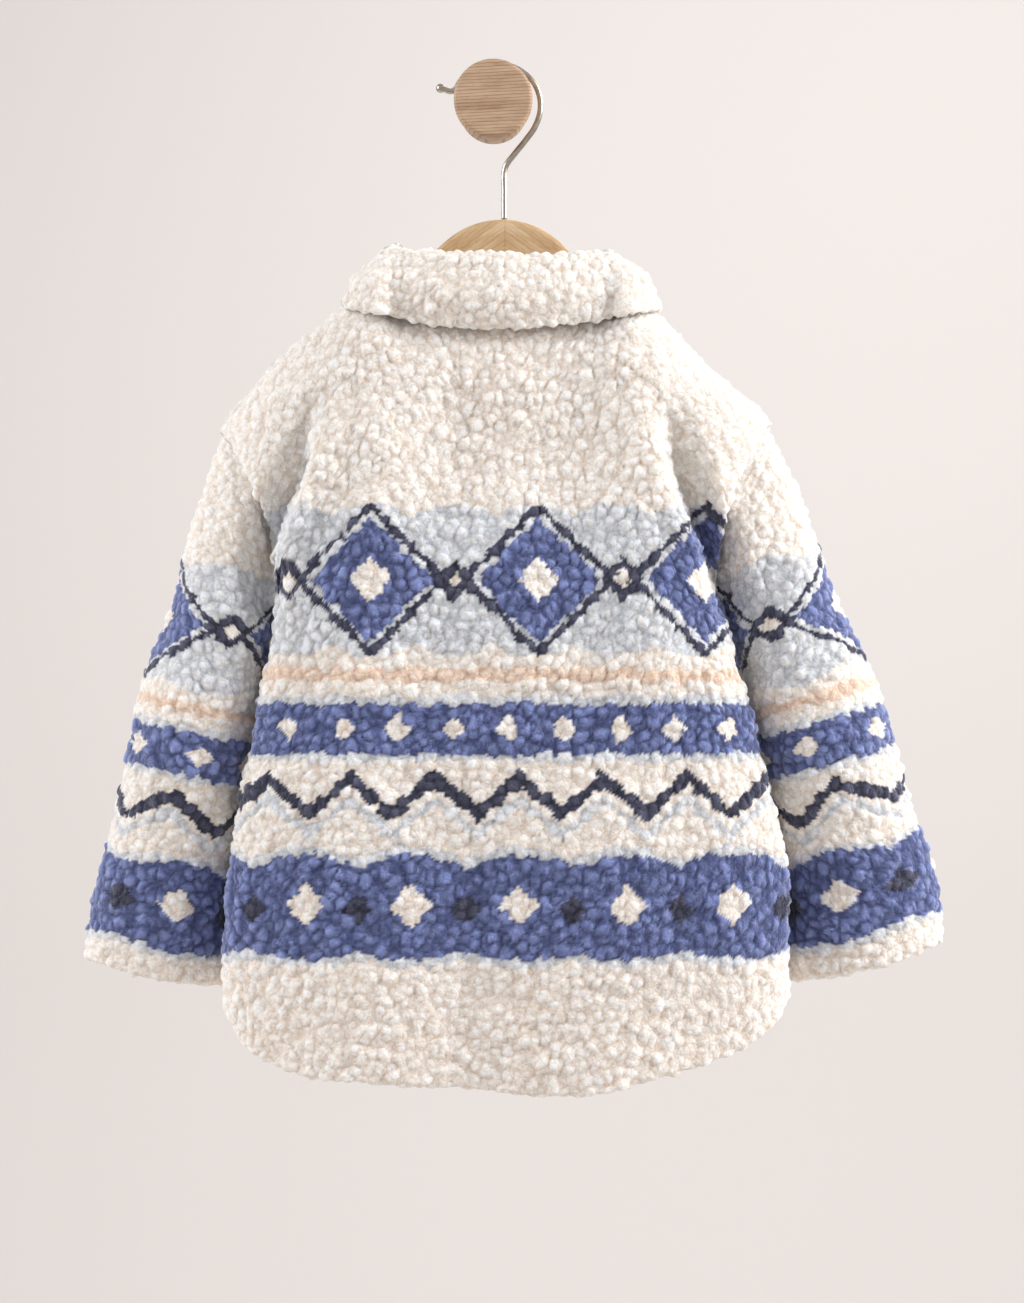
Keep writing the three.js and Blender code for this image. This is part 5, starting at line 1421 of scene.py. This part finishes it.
def area_light(name, place, aim, size, power, colour):
    """A square soft light at a place, turned to a point."""
    from mathutils import Vector
    data = bpy.data.lights.new(name, "AREA")
    data.size = size
    data.energy = power
    data.color = colour
    obj = bpy.data.objects.new(name, data)
    obj.location = place
    obj.rotation_euler = (Vector(aim) - Vector(place)).to_track_quat("-Z", "Y").to_euler()
    bpy.context.scene.collection.objects.link(obj)


class JACKET_OT_stage(bpy.types.Operator):
    """Set up the pale floor and backdrop, the soft lights and the camera"""
    bl_idname = "jacket.stage"
    bl_label = "Stage"

    def execute(self, context):
        s = context.scene.jacket_stage
        # floor and backdrop: one sheet along a profile that curves up behind
        a = np.radians(np.linspace(0, 90, 13))
        bend = np.stack([3200 + 1200 * np.sin(a), -800 - 1200 * np.cos(a)], -1)
        profile = np.concatenate([[[-9000, -2000]], bend, [[4400, 5000]]])
        x = np.array([-9000.0, 9000.0])
        points = np.concatenate([np.stack([x, np.full(2, y), np.full(2, z)], -1) for y, z in profile])
        rows = len(profile)
        tris = grid_faces(rows, 2, 0)
        under = points + np.array([0, 20, -20])
        both = np.concatenate([points, under])
        rim = [grid_faces(rows, 2, 0), grid_faces(rows, 2, rows * 2, flip=True)]
        for side in (0, 1):
            up = np.arange(rows) * 2 + side
            rim.append(zip_faces(up, up + rows * 2, np.arange(rows), side == 1))
        for row in (0, rows - 1):
            up = np.array([row * 2, row * 2 + 1])
            rim.append(zip_faces(up, up + rows * 2, np.arange(2), row == 0))
        floor = put_mesh("floor", both, np.concatenate(rim), [plain_material("floor_matt", (231, 226, 223))])
        area_light("key", (2.4, -0.75, 0.75), (0, 0, -0.3), 1.3, s.key_power, (1.0, 0.998, 0.996))
        area_light("fill", (-2.4, -0.75, 0.6), (0, 0, -0.3), 1.5, s.fill_power, (0.995, 0.995, 1.0))
        area_light("behind", (0.8, 2.2, 0.8), (0, 0, -0.3), 1.8, 0.5 * s.fill_power, (1.0, 0.995, 0.99))
        area_light("backdrop", (1.3, 1.2, 1.9), (-0.1, 4.2, 1.5), 1.5, s.backdrop_power, (1.0, 0.99, 0.985))
        world = bpy.data.worlds.new("room")
        world.use_nodes = True
        world.node_tree.nodes["Background"].inputs["Color"].default_value = (*linear((253, 251, 250)), 1)
        world.node_tree.nodes["Background"].inputs["Strength"].default_value = s.sky
        context.scene.world = world
        context.scene.view_settings.view_transform = "Standard"
        lens = bpy.data.cameras.new("camera")
        lens.sensor_width = SENSOR
        lens.lens = LENS_PIXELS / PICTURE_HIGH * SENSOR
        lens.clip_start, lens.clip_end = 0.05, 50
        camera = bpy.data.objects.new("camera", lens)
        camera.location = (CAMERA_X, -s.camera_distance, CAMERA_Z)
        camera.rotation_euler = (np.pi / 2, 0, 0)
        context.scene.collection.objects.link(camera)
        context.scene.camera = camera
        return {"FINISHED"}


class JACKET_PT_panel(bpy.types.Panel):
    """Sizes, colours and makers of the jacket's pieces"""
    bl_idname = "JACKET_PT_panel"
    bl_label = "Fleece jacket"
    bl_space_type = "VIEW_3D"
    bl_region_type = "UI"
    bl_category = "Jacket"

    def draw(self, context):
        layout = self.layout
        for group in (context.scene.jacket_fleece, context.scene.jacket_fittings, context.scene.jacket_stage):
            for key in group.__annotations__:
                layout.prop(group, key)
        for operator in OPERATORS:
            layout.operator(operator.bl_idname)


GROUPS = (JacketFleece, JacketFittings, JacketStage)
OPERATORS = (JACKET_OT_hanger, JACKET_OT_hook, JACKET_OT_peg, JACKET_OT_buttons, JACKET_OT_back,
             JACKET_OT_fronts, JACKET_OT_sleeves, JACKET_OT_collar, JACKET_OT_stage)


def register():
    """Registers settings, operators and panel."""
    for cls in (*GROUPS, *OPERATORS, JACKET_PT_panel):
        bpy.utils.register_class(cls)
    bpy.types.Scene.jacket_fleece = bpy.props.PointerProperty(type=JacketFleece)
    bpy.types.Scene.jacket_fittings = bpy.props.PointerProperty(type=JacketFittings)
    bpy.types.Scene.jacket_stage = bpy.props.PointerProperty(type=JacketStage)


def unregister():
    """Takes them out again."""
    del bpy.types.Scene.jacket_stage
    del bpy.types.Scene.jacket_fittings
    del bpy.types.Scene.jacket_fleece
    for cls in reversed((*GROUPS, *OPERATORS, JACKET_PT_panel)):
        bpy.utils.unregister_class(cls)


def main():
    """Makes every piece in order."""
    register()
    bpy.ops.jacket.hanger()
    bpy.ops.jacket.hook()
    bpy.ops.jacket.peg()
    bpy.ops.jacket.buttons()
    bpy.ops.jacket.back()
    bpy.ops.jacket.fronts()
    bpy.ops.jacket.sleeves()
    bpy.ops.jacket.collar()
    bpy.ops.jacket.stage()


if __name__ == "__main__":
    main()
